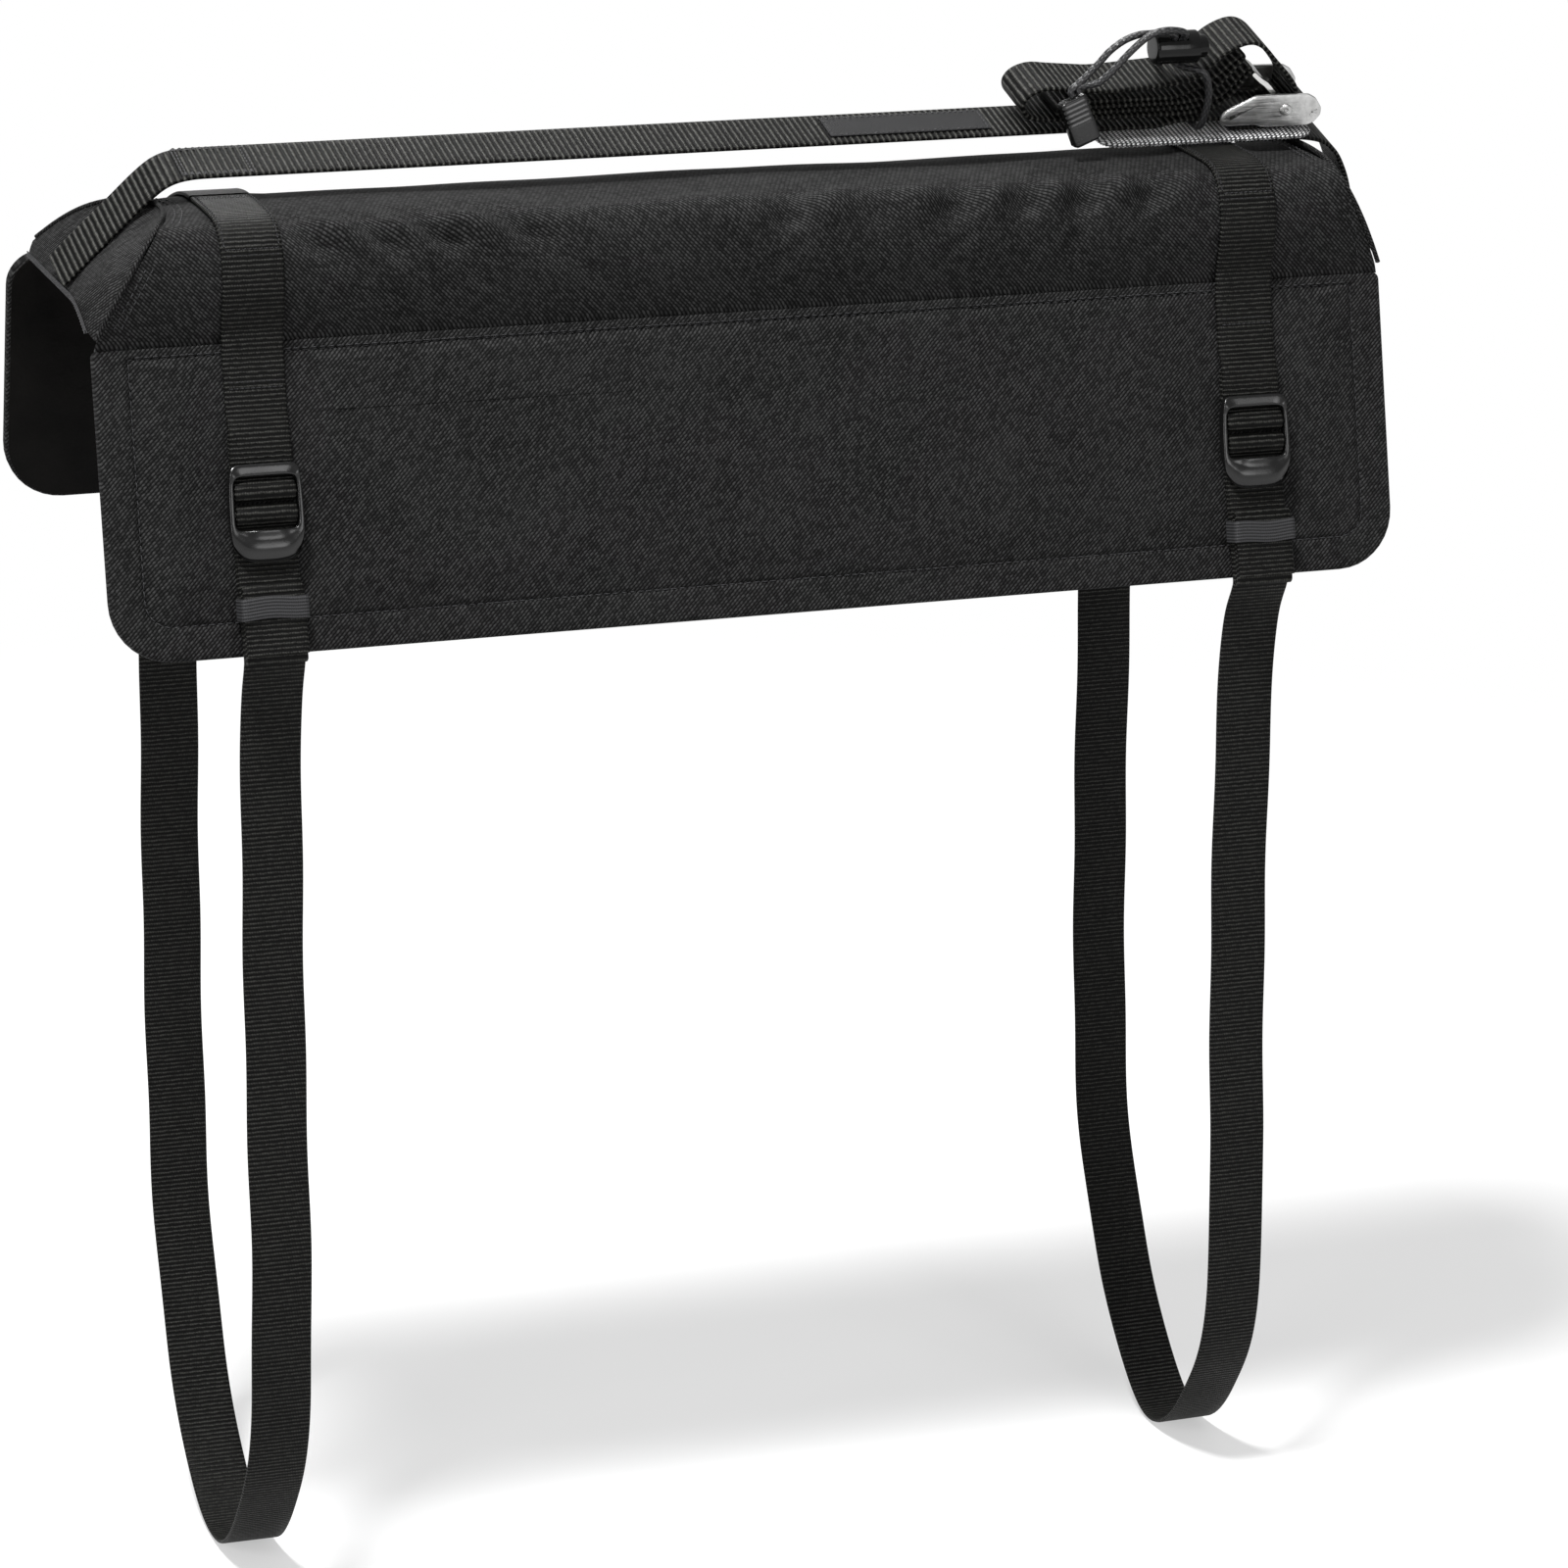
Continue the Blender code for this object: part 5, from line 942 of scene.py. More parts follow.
def overlock_loops():
    """Threads over the raw edge of the left gusset: one bent loop for every two steps along its hem."""
    hem = gusset_grid(-1, GUSSET_THICKNESS)[-1, ::4] + np.array([-0.0004, 0.0, -0.0002])
    hem = spaced(hem, step=0.0009)
    lap = np.array([-0.0010, 0.0, 0.0022])
    start = hem[:-1:2]
    end = hem[1::2][:len(start)]
    path = np.stack([start + lap, start + np.array([-0.0012, 0.0, 0.0]), end - 0.2 * lap, end + lap * 0.4,
                     end + lap], axis=1)
    turn = np.linspace(0, 2 * math.pi, 6, endpoint=False)
    disc = np.stack([np.cos(turn), np.sin(turn), 0.6 * np.cos(turn + 1.0)], axis=1)
    return path[:, :, None] + 0.00022 * disc


class PAD_OT_gussets(bpy.types.Operator):
    """End gussets of the roll, with their corded seams and double stitching."""

    bl_idname = "pad.gussets"
    bl_label = "Gussets"

    def execute(self, context):
        rows = []
        for side, name in ((-1, "left"), (1, "right")):
            outer = gusset_grid(side, GUSSET_THICKNESS)
            inner = gusset_grid(side, 0.0)
            uv = outer[..., 1:]
            piece = add_shell(name + "_gusset_cloth", outer, inner, finish(twill_cloth), uv)
            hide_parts(name + "_end_gusset")
            seam = outer[0] + np.array([0.0, 0.0, 0.0004])
            ridge = add_tube(name + "_gusset_seam", smooth_line(seam[::6], step=0.0012), 0.0009,
                             finish(twill_cloth), 10)
            count = 90
            section = roll_outline(count, 0.0001)
            slope = np.gradient(section, axis=0)
            out = unit(np.stack([np.zeros(count), -slope[:, 1], slope[:, 0]], axis=1))
            for inset in (0.0035, 0.0065):
                x = side * (end_position(side, count) - inset)
                line = np.column_stack([x, section])[4:-4]
                rows.append(stitch_grid(line, out[4:-4], sizes().stitch_pitch, sizes().thread, -0.0004))
        piece = add_stitches("gusset_stitches", rows, finish(sewing_thread))
        piece = add_stitches("overlock_threads", [overlock_loops()], finish(sewing_thread, "#49494A"))
        return {"FINISHED"}


# Flaps

def flap_loop(flap, inset, steps=10, straight=150, short=30):
    """Outline of a flap drawn in by an inset, as (x, drop) points with the same count at any inset."""
    height, half, top_corner = FLAPS[flap][3:]
    x = half - inset
    upper, lower = FLAP_SEAM_GAP + TOP_INSET_SHARE * inset, height - inset
    top_r = max(top_corner - 0.5 * inset, 0.0002)
    low_r = max(FLAP_CORNER - inset, 0.0003)
    corners = [arc((x - top_r, upper + top_r), top_r, 0, -90, steps),
               arc((-x + top_r, upper + top_r), top_r, -90, -180, steps),
               arc((-x + low_r, lower - low_r), low_r, 180, 90, steps),
               arc((x - low_r, lower - low_r), low_r, 90, 0, steps)]
    parts = []
    for k, count in enumerate((straight, short, straight, short)):
        start, stop = corners[k][-1], corners[(k + 1) % 4][0]
        share = np.linspace(0, 1, count + 2)[1:-1, None]
        parts += [corners[k], start + (stop - start) * share]
    return np.vstack(parts)


def flap_middle(flap):
    """Inset at which the drawn-in outline of a flap is almost a line."""
    return (FLAPS[flap][3] - FLAP_SEAM_GAP - 0.0009) / (1 + TOP_INSET_SHARE)


def flap_face(x, drop, inset):
    """Standoff of a flap's padded face: hemmed border, sewn channel, and padding pressed flat by straps."""
    strap = smoothstep((np.abs(np.abs(x) - STRAP_X) - WEB_WIDTH / 2 - 0.003) / 0.022)
    inner = smoothstep((inset - STITCH_INSET) / 0.016)
    puff = sizes().puff * inner * strap * (1 + 0.25 * ripple(x / 0.055, drop / 0.030, 11))
    beside = np.exp(-((inset - STITCH_INSET - 0.003) / 0.004) ** 2)
    pull = 0.0004 * beside * np.sin(x / 0.0042 + 2 * np.sin(x / 0.03))
    hem = np.clip(inset / 0.004, 0, 1) * strap * (inset < STITCH_INSET)
    border = 0.0003 * ripple(x / 0.016, drop / 0.016, 23) * hem
    groove = -0.0009 * np.exp(-((inset - STITCH_INSET) / 0.0011) ** 2)
    sag = 0.0005 * ripple(x / 0.09, drop / 0.05, 31) * inner * strap
    return puff + pull * strap + border + groove + sag


class PAD_OT_flaps(bpy.types.Operator):
    """Padded front and rear flap, each with a sewn border, foam and coated lining."""

    bl_idname = "pad.flaps"
    bl_label = "Flaps"

    def add_filling(self, flap):
        """Foam sheet inside a flap and the coated lining that closes its back."""
        back, deep = -FLAP_THICKNESS, flap_middle(flap)
        rings = []
        fit = FOAM_INSET + GAP
        for inset, out in ((deep, back + GAP), (fit + 0.0006, back + GAP), (fit, back + 0.0009),
                           (fit, -FLAP_SKIN - 0.0009), (fit + 0.0006, -FLAP_SKIN - GAP),
                           (deep, -FLAP_SKIN - GAP)):
            loop = flap_loop(flap, inset)
            rings.append(flap_space(flap, loop[:, 0], loop[:, 1], np.full(len(loop), out)))
        foam = add_surface(flap + "_padding", np.array(rings), finish(open_foam))
        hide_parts(flap + "_foam")
        insets = np.concatenate([np.linspace(0.0012, 0.012, 8), np.linspace(0.016, deep, 26)])
        rings, uvs = [], []
        for inset in insets[::-1]:
            loop = flap_loop(flap, inset)
            out = np.full(len(loop), back - GAP)
            rings.append(flap_space(flap, loop[:, 0], loop[:, 1], out))
            uvs.append(loop)
        for inset in insets:
            loop = flap_loop(flap, inset)
            wave = 0.00045 * ripple(loop[:, 0] / 0.030, loop[:, 1] / 0.022, 41) * min(1.0, inset / 0.02)
            out = back - GAP - FLAP_LINING_THICKNESS - np.abs(wave)
            rings.append(flap_space(flap, loop[:, 0], loop[:, 1], out))
            uvs.append(loop)
        grid, uv = np.array(rings), np.array(uvs)
        uv = np.concatenate([uv, uv[:, :1]], axis=1)
        lining = add_surface(flap + "_lining_cloth", grid, finish(coated_lining), uv)
        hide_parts(flap + "_lining")

    def execute(self, context):
        rows = []
        for flap in FLAPS:
            back = -FLAP_THICKNESS
            rings, uvs = [], []
            for inset, out in ((FOAM_INSET, -FLAP_SKIN), (FOAM_INSET, back), (0.0008, back),
                               (0.0002, back + 0.0003), (0.0, back + 0.001), (0.0, back + 0.0028),
                               (0.0, -0.0022), (0.0001, -0.0012), (0.0005, -0.0005), (0.0012, -0.0001)):
                loop = flap_loop(flap, inset)
                rings.append(flap_space(flap, loop[:, 0], loop[:, 1], np.full(len(loop), out)))
                uvs.append(loop)
            deep = flap_middle(flap)
            insets = np.concatenate([np.linspace(0.0020, 0.0125, 8), np.linspace(0.0128, 0.0152, 7),
                                     np.linspace(0.0160, 0.0300, 12), np.linspace(0.033, deep, 20)])
            for inset in insets:
                loop = flap_loop(flap, inset)
                face = flap_face(loop[:, 0], loop[:, 1], inset)
                rings.append(flap_space(flap, loop[:, 0], loop[:, 1], face))
                uvs.append(loop)
            grid, uv = np.array(rings), np.array(uvs)
            uv = np.concatenate([uv, uv[:, :1]], axis=1)
            piece = add_surface(flap + "_cloth", grid, finish(twill_cloth), uv)
            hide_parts(flap + "_shell")
            self.add_filling(flap)
            loop = flap_loop(flap, STITCH_INSET)
            line = flap_space(flap, loop[:, 0], loop[:, 1], np.full(len(loop), -0.0006))
            line = np.vstack([line, line[:1]])
            out = np.broadcast_to(np.array([0.0, *flap_axes(flap)[2]]), line.shape)
            rows.append(stitch_grid(line, out, sizes().stitch_pitch, sizes().thread))
            edge = np.linspace(-FLAPS[flap][4] + 0.016, FLAPS[flap][4] - 0.016, 40)
            line = flap_space(flap, edge, np.full(40, 0.0042), np.full(40, 0.0001))
            out = np.broadcast_to(out[0], line.shape)
            rows.append(stitch_grid(line, out, sizes().stitch_pitch, sizes().thread))
        piece = add_stitches("flap_stitches", rows, finish(sewing_thread))
        return {"FINISHED"}


# Tailgate straps

def strap_on_roll(start, stop):
    """Centre line of a strap over the roll, between two shares of its section."""
    line = roll_outline(240, GAP + WEB_THICKNESS / 2)
    low, high = sorted((start, stop))
    part = line[int(low * 239):int(high * 239) + 1]
    return part if start < stop else part[::-1]


def buckle_strap_line():
    """(y, z) line of the strap that is sewn over the roll and carries the ladder-lock."""
    half = WEB_THICKNESS / 2
    flat, layer = GAP + half, GAP + half + LAYER_PITCH
    wrap = BAR_SIZE / 2 + GAP + half
    flap = "front_flap"
    sewn = on_flap(flap, [(0.006, flat), (0.018, flat), (0.030, flat)])
    ramp = on_flap(flap, [(0.037, layer), (0.046, layer), (BUCKLE_TOP + 0.0053, layer),
                          (UPPER_BAR_DROP - 0.0028, 0.0062)])
    turn = on_flap(flap, arc((UPPER_BAR_DROP, BAR_STANDOFF), wrap, 90, -90, 15))
    back = on_flap(flap, [(UPPER_BAR_DROP - 0.006, flat), (0.046, flat), (0.0385, flat)])
    return np.vstack([strap_on_roll(0.53, 0.03), sewn, ramp, turn, back])


def lift(drop):
    """How far the layers rise where the tail is folded on them."""
    return TAIL_RISE * smoothstep((np.asarray(drop) - 0.088) / 0.010)


def layered(points):
    """(drop, standoff) on the front flap, raised where the tail lies, as (y, z)."""
    points = np.array(points, float)
    points[:, 1] += lift(points[:, 0])
    return on_flap("front_flap", points)


def tailgate_strap_line(side):
    """(y, z) line of the strap: over the rear, the hanging loop, the buckle and the folded tail."""
    half = WEB_THICKNESS / 2
    flat = GAP + half
    layer, fold = flat + LAYER_PITCH, LAYER_PITCH / 2 + 0.0001
    wrap = BAR_SIZE / 2 + GAP + half
    height = FLAPS["rear_flap"][3]
    rear = on_flap("rear_flap", [(0.006, flat), (0.030, flat), (0.060, flat), (0.090, flat), (height, flat)])
    low = layered([(FLAPS["front_flap"][3] + 0.002, flat)])[0]
    hang = [rear[-1], *[(y, -LOOP_DEPTH * share) for y, share in LOOPS[side]], tuple(low)]
    climb = layered([(0.112, flat), (0.100, flat), (0.088, flat), (LOWER_BAR_DROP + 0.003, flat)])
    turn = on_flap("front_flap", arc((LOWER_BAR_DROP, BAR_STANDOFF), wrap, 270, 90, 19))
    tail = layered([(LOWER_BAR_DROP + 0.0028, 0.0062), (LOWER_BAR_DROP + 0.0048, 0.0040),
                    (LOWER_BAR_DROP + 0.0080, layer), (0.088, layer), (0.098, layer), (0.1275, layer)])
    low_turn = layered(arc((0.1275, layer + fold), fold, -90, 90, 12)[1:])
    rise = layered([(0.112, layer + 2 * fold), (0.0995, layer + 2 * fold)])
    high_turn = layered(arc((0.0995, layer + 3 * fold), fold, 270, 90, 12)[1:])
    ending = layered([(0.112, layer + 4 * fold), (0.1255, layer + 4 * fold)])
    return np.vstack([strap_on_roll(0.545, 1.0), rear[:-1], smooth_line(hang, step=0.004), climb, turn, tail,
                      low_turn, rise, high_turn, ending])


def across_rows(line_yz, x, run_from, run_to, lift_out):
    """A line between two places on a strap's run, with the direction out of it, for edge stitching."""
    run = run_along(line_yz)
    marks = np.linspace(run_from, run_to, max(3, int((run_to - run_from) / 0.001)))
    place = np.stack([np.interp(marks, run, line_yz[:, k]) for k in range(2)], axis=1)
    slope = np.gradient(place, axis=0)
    out = unit(np.stack([np.zeros(len(marks)), slope[:, 1], -slope[:, 0]], axis=1))
    middle = np.column_stack([np.full(len(marks), x), place])
    return middle + out * lift_out, out


class PAD_OT_tailgate_straps(bpy.types.Operator):
    """Buckle straps, tailgate straps with their hanging loops, and the thread that sews them on."""

    bl_idname = "pad.tailgate_straps"
    bl_label = "Tailgate straps"

    def execute(self, context):
        step, reach = 0.0008, 0.0007
        rows = []
        for side, name in ((-1, "left"), (1, "right")):
            line = eased(buckle_strap_line(), step, reach)
            x = np.full(len(line), side * STRAP_X)
            piece = add_web(name + "_buckle_web", np.column_stack([x, line]), ALONG_X, fine_web())
            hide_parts(name + "_buckle_strap")
            lift_out = WEB_THICKNESS / 2
            for edge in (-SEAM_EDGE, SEAM_EDGE):
                row, out = across_rows(line, side * STRAP_X + edge, 0.001, 0.050, lift_out)
                rows.append(stitch_grid(row, -out, SEAM_STITCH, SEAM_THREAD))
            for run in (0.001, 0.0045, 0.050, 0.0525, 0.104, 0.1065):
                spot, out = across_rows(line, side * STRAP_X, run, run + 0.002, lift_out)
                ends = np.linspace(-SEAM_EDGE, SEAM_EDGE, 20)[:, None] * ALONG_X
                out = np.broadcast_to(-out[1], ends.shape)
                rows.append(stitch_grid(spot[1] + ends, out, 0.0022, SEAM_THREAD))
            line = eased(tailgate_strap_line(side), step, reach)
            hang = np.clip((-line[:, 1] - 0.15) / 0.40, 0.0, 1.0) ** 2
            x = side * STRAP_X + LOOP_DRIFT[side] * hang + 0.0003 * np.sin(line[:, 1] / 0.013)
            turn = 0.02 * hang * side
            across = np.stack([np.ones(len(line)), turn, np.zeros(len(line))], axis=1)
            piece = add_web(name + "_tailgate_web", np.column_stack([x, line]), across, fine_web())
            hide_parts(name + "_tailgate_strap")
        piece = add_stitches("strap_stitches", rows, finish(sewing_thread, "#262627"))
        return {"FINISHED"}


class PAD_OT_keepers(bpy.types.Operator):
    """Elastic keepers round the folded tails."""

    bl_idname = "pad.keepers"
    bl_label = "Keepers"

    def execute(self, context):
        half = WEB_THICKNESS / 2
        flat = GAP + half
        layer, fold = flat + LAYER_PITCH, LAYER_PITCH / 2 + 0.0001
        room = GAP + KEEPER_THICKNESS / 2
        low = flat + TAIL_RISE - half - room
        high = layer + 4 * fold + TAIL_RISE + half + room
        reach, corner = WEB_WIDTH / 2 + room, 0.0012
        outline = np.vstack([arc((reach - corner, low + corner), corner, -90, 0, 8),
                             arc((reach - corner, high - corner), corner, 0, 90, 8),
                             arc((-reach + corner, high - corner), corner, 90, 180, 8),
                             arc((-reach + corner, low + corner), corner, 180, 270, 8)])
        outline = spaced(np.vstack([outline, outline[:1]]), step=0.0008)[:-1]
        down = np.array([0.0, *flap_axes("front_flap")[1]])
        for side, name in ((-1, "left"), (1, "right")):
            middle = KEEPER_DROP + KEEPER_WIDTH / 2 + 0.0004 * np.sin(outline[:, 0] / 0.004 + side)
            ring = flap_space("front_flap", outline[:, 0] + side * STRAP_X, middle, outline[:, 1])
            piece = add_web(name + "_keeper_band", ring, down, finish(braided_elastic), KEEPER_WIDTH,
                            KEEPER_THICKNESS, True)
            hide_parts(name + "_tail_keeper")
        return {"FINISHED"}


# Ladder-lock buckle

def rounded_reach(angle, half_width, low, high, centre, corner):
    """Distance from a centre to a rounded rectangle, along each angle, as the least of its sides' reach."""
    sides = np.stack([half_width / np.maximum(np.abs(np.cos(angle)), 1e-6),
                      np.where(np.sin(angle) > 0, high - centre, centre - low)
                      / np.maximum(np.abs(np.sin(angle)), 1e-6)])
    power = 9.0 if corner < 0.003 else 5.0
    return np.sum(sides ** -power, axis=0) ** (-1 / power)


def ladder_lock_frame(x):
    """Frame of the buckle: a rounded section carried round the window, broad at the thumb lip."""
    count, around = 160, 36
    angle = np.linspace(0, 2 * math.pi, count, endpoint=False)
    centre = 0.0655
    inner = rounded_reach(angle, 0.0130, 0.0540, 0.0756, centre, 0.001)
    outline = smooth_line([(0.0, BUCKLE_TOP), (0.0080, BUCKLE_TOP), (0.0118, 0.0492), (0.0138, 0.0505),
                           (0.0146, 0.0535), (0.0152, 0.0620), (0.0154, 0.0700), (0.0153, 0.0760),
                           (0.0147, 0.0800), (0.0134, 0.0835), (0.0113, 0.0862), (0.0085, 0.0877),
                           (0.0045, 0.0883), (0.0, 0.0884)], 200)
    outline = np.vstack([outline, (outline * [-1, 1])[::-1][1:-1]])
    bearing = np.unwrap(np.arctan2(outline[:, 1] - centre, outline[:, 0]))
    order = np.argsort(np.mod(bearing, 2 * math.pi))
    outer = np.interp(angle, np.mod(bearing, 2 * math.pi)[order],
                      np.hypot(outline[:, 0], outline[:, 1] - centre)[order], period=2 * math.pi)
    drop = centre + outer * np.sin(angle)
    low = np.interp(drop, [0.049, 0.052, 0.056, 0.074, 0.079, 0.084, 0.0884],
                    [4.6, 4.2, 2.4, 2.4, 4.4, 5.0, 6.6]) * MM
    high = np.interp(drop, [0.049, 0.052, 0.056, 0.074, 0.079, 0.084, 0.0884],
                     [7.6, 8.6, 7.8, 7.6, 7.9, 8.6, 9.6]) * MM
    turn = np.linspace(0, 2 * math.pi, around, endpoint=False)
    c = np.sign(np.cos(turn)) * np.abs(np.cos(turn)) ** 0.62
    s = np.sign(np.sin(turn)) * np.abs(np.sin(turn)) ** 0.62
    middle, half = (inner + outer) / 2, (outer - inner) / 2
    radius = middle[:, None] + half[:, None] * c[None]
    rise = ((low + high) / 2)[:, None] + ((high - low) / 2)[:, None] * s[None]
    lip = smoothstep((drop - 0.076) / 0.010)[:, None]
    share = c[None] * 0.5 + 0.5
    dish = 0.0012 * np.sin(math.pi * np.clip(share / 0.55, 0.0, 1.0))
    roll_off = 0.0026 * smoothstep((share - 0.45) / 0.55)
    rise = rise + lip * (0.0006 - dish - roll_off) * (s[None] > 0.0)
    return flap_space("front_flap", x + radius * np.cos(angle)[:, None],
                      centre + radius * np.sin(angle)[:, None], rise)


class PAD_OT_ladder_locks(bpy.types.Operator):
    """Moulded ladder-lock buckles: frame with a dished thumb lip, and two bars."""

    bl_idname = "pad.ladder_locks"
    bl_label = "Ladder-locks"

    def execute(self, context):
        material = finish(moulded_acetal, 0.26, 0.00003, 0.42)
        for side, name in ((-1, "left"), (1, "right")):
            x = side * STRAP_X
            grid = ladder_lock_frame(x)
            piece = add_surface(name + "_lock_frame", grid, material, wrap_rows=True)
            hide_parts(name + "_ladder_lock")
            for label, drop in (("upper", UPPER_BAR_DROP), ("lower", LOWER_BAR_DROP)):
                turn = np.linspace(0, 2 * math.pi, 20, endpoint=False)
                ends = np.array([-0.0140, -0.0132, 0.0132, 0.0140])
                reach = BAR_SIZE / 2 * np.array([0.9, 1.0, 1.0, 0.9])[:, None]
                bar = flap_space("front_flap", x + ends[:, None] + 0 * turn[None],
                                 drop + reach * np.cos(turn)[None], BAR_STANDOFF + reach * np.sin(turn)[None])
                piece = add_surface(name + "_" + label + "_bar", bar, material)
        return {"FINISHED"}


# Cinch strap

def cinch_line():
    """Centre line of the cinch strap from its anchor, through the buckle, to the folded tail."""
    run, inside, pitch = CINCH_HEIGHT, BUCKLE_STRAP_HEIGHT, STACK_PITCH
    start = smooth_line([(-0.2815, 0.0, 0.0060), (-0.2712, 0.0, 0.0160), (-0.2580, 0.0, 0.0282),
                         (-0.2460, 0.0, 0.0393), (-0.2380, 0.0, 0.0449), (-0.2290, 0.0, run - 0.0004),
                         (-0.2150, 0.0, run)], step=0.002)
    level = [(-0.150, run), (-0.080, run), (0.0, run), (0.080, run), (0.150, run), (0.190, run)]
    entry = smooth_line([(0.193, run + 0.0001), (0.198, run + 0.0013), (0.204, run + 0.0024),
                         (0.215, run + 0.0024), (0.224, inside + 0.0002), (0.232, inside)], step=0.002)
    cam_side = PIN_X + 0.0052
    bend = np.vstack([[(0.249, inside)], arc((cam_side - 0.0026, inside + 0.0026), 0.0026, -80, 0, 9)])
    base, turn = run + STACK_STANDOFF, pitch / 2
    arch = smooth_line([(cam_side, inside + 0.0030), (0.2550, 0.0612), (0.2505, 0.0680), (0.2435, 0.0752),
                        (0.2360, 0.0828), (0.2290, 0.0850), (0.2200, 0.0815), (0.2120, 0.0745),
                        (0.2070, 0.0698), (0.1975, 0.0675), (0.1845, 0.0665), (0.1685, 0.0655),
                        (0.1600, 0.0660), (0.1480, 0.0672), (0.1390, 0.0680), (0.1320, 0.0655),
                        (0.1292, 0.0607), (0.1318, 0.0558), (0.1385, base + 0.0004), (0.1465, base)],
                       step=0.002)
    first = smooth_line([(0.2040, base), (0.2120, 0.0540), (0.2180, 0.0560), (0.2225, 0.0590),
                         (0.2262, 0.0630), (0.2295, 0.0680), (0.2318, 0.0715)], step=0.002)
    second = smooth_line([(0.2296, 0.0729), (0.2268, 0.0693), (0.2238, 0.0652), (0.2200, 0.0614),
                          (0.2150, 0.0583), (0.2080, 0.0562), (0.2020, base + pitch)], step=0.002)
    third = smooth_line([(0.2010, base + 2 * pitch), (0.2075, 0.0593), (0.2130, 0.0622), (0.2175, 0.0658),
                         (0.2210, 0.0698), (0.2245, 0.0742), (0.2275, 0.0775)], step=0.002)
    fourth = smooth_line([(0.2255, 0.0793), (0.2215, 0.0757), (0.2175, 0.0717), (0.2130, 0.0680),
                          (0.2085, 0.0648), (0.2035, 0.0630), (0.1975, base + 3 * pitch)], step=0.002)
    folds = [[(0.170, base)], first, arc((0.2307, 0.0722), turn, -33, 147, 12)[1:-1],
             second, [(0.170, base + pitch)], arc((0.1465, base + pitch + turn), turn, 270, 90, 12),
             [(0.170, base + 2 * pitch)], third, arc((0.2265, 0.0784), turn, -42, 138, 12)[1:-1],
             fourth, [(0.170, base + 3 * pitch), (0.1535, base + 3 * pitch)]]
    return np.vstack([start, on_cinch(np.vstack([level, entry, bend, arch] + [np.array(f) for f in folds]))])


class PAD_OT_cinch_strap(bpy.types.Operator):
    """Ribbed cinch strap with its folded tail, its bare label and the webs of the buckle."""

    bl_idname = "pad.cinch_strap"
    bl_label = "Cinch strap"

    def execute(self, context):
        line = eased(cinch_line(), 0.0008, 0.0006)
        piece = add_web("cinch_web", line, CINCH_ACROSS, heavy_web())
        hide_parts("cinch_strap")
        top = CINCH_HEIGHT + WEB_THICKNESS / 2 + GAP
        ends = on_cinch([(x, top + LABEL_THICKNESS / 2) for x in np.linspace(LABEL_LEFT, LABEL_RIGHT, 73)])
        piece = add_web("label_patch", ends, CINCH_ACROSS, finish(woven_satin), LABEL_WIDTH, LABEL_THICKNESS)
        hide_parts("strap_label")
        left, right, edge = LABEL_LEFT + 0.0012, LABEL_RIGHT - 0.0012, LABEL_WIDTH / 2 - 0.0011
        corners = np.array([(left, -edge), (right, -edge), (right, edge), (left, edge), (left, -edge)])
        loop = spaced(corners, step=0.001)
        ring = in_cinch(np.column_stack([loop, np.full(len(loop), top + LABEL_THICKNESS)]))
        rows = [stitch_grid(ring, np.broadcast_to(CINCH_OUT, ring.shape), SEAM_STITCH, 0.0004)]
        face = CINCH_HEIGHT + WEB_THICKNESS / 2
        for edge in (-SEAM_EDGE, SEAM_EDGE, -0.0100, 0.0100):
            x = np.linspace(-0.232, -0.202, 30)
            place = in_cinch(np.column_stack([x, np.full(30, edge), np.full(30, face)]))
            rows.append(stitch_grid(place, np.broadcast_to(CINCH_OUT, place.shape), SEAM_STITCH, SEAM_THREAD))
        for x in (-0.232, -0.2305, -0.2035, -0.202):
            edge = np.linspace(-SEAM_EDGE, SEAM_EDGE, 20)
            place = in_cinch(np.column_stack([np.full(20, x), edge, np.full(20, face)]))
            rows.append(stitch_grid(place, np.broadcast_to(CINCH_OUT, place.shape), 0.0024, SEAM_THREAD))
        piece = add_stitches("cinch_stitches", rows, finish(sewing_thread, "#3C3C3D"))

        half = WEB_THICKNESS / 2
        thick, pad_top = PAD_STRIP[3:]
        height = pad_top + GAP + half
        round_bar = arc((ANCHOR_BAR_X, ANCHOR_BAR_HEIGHT), ANCHOR_BAR_RADIUS + GAP + half, -95, 200, 30)
        path = np.vstack([[(0.2270, height), (0.240, height), (0.250, height), (0.2560, height + 0.0009)],
                          round_bar])
        piece = add_web("buckle_loop_web", eased(on_cinch(path), 0.0006, 0.0006), CINCH_ACROSS, fine_web())
        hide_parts("buckle_web")
        under = on_cinch([(x, pad_top - thick - GAP - half) for x in (0.2305, 0.240, 0.250, 0.259)])
        descent = [(0.2705, 0.0022, 0.0370), (0.2775, 0.0018, 0.0318), (0.2822, 0.0012, 0.0225),
                   (0.2846, 0.0006, 0.0130), (0.2856, 0.0, 0.0045)]
        path = smooth_line(np.vstack([under, descent]), step=0.001)
        piece = add_web("pad_anchor_strip", path, CINCH_ACROSS, fine_web())
        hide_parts("pad_anchor_web")
        return {"FINISHED"}


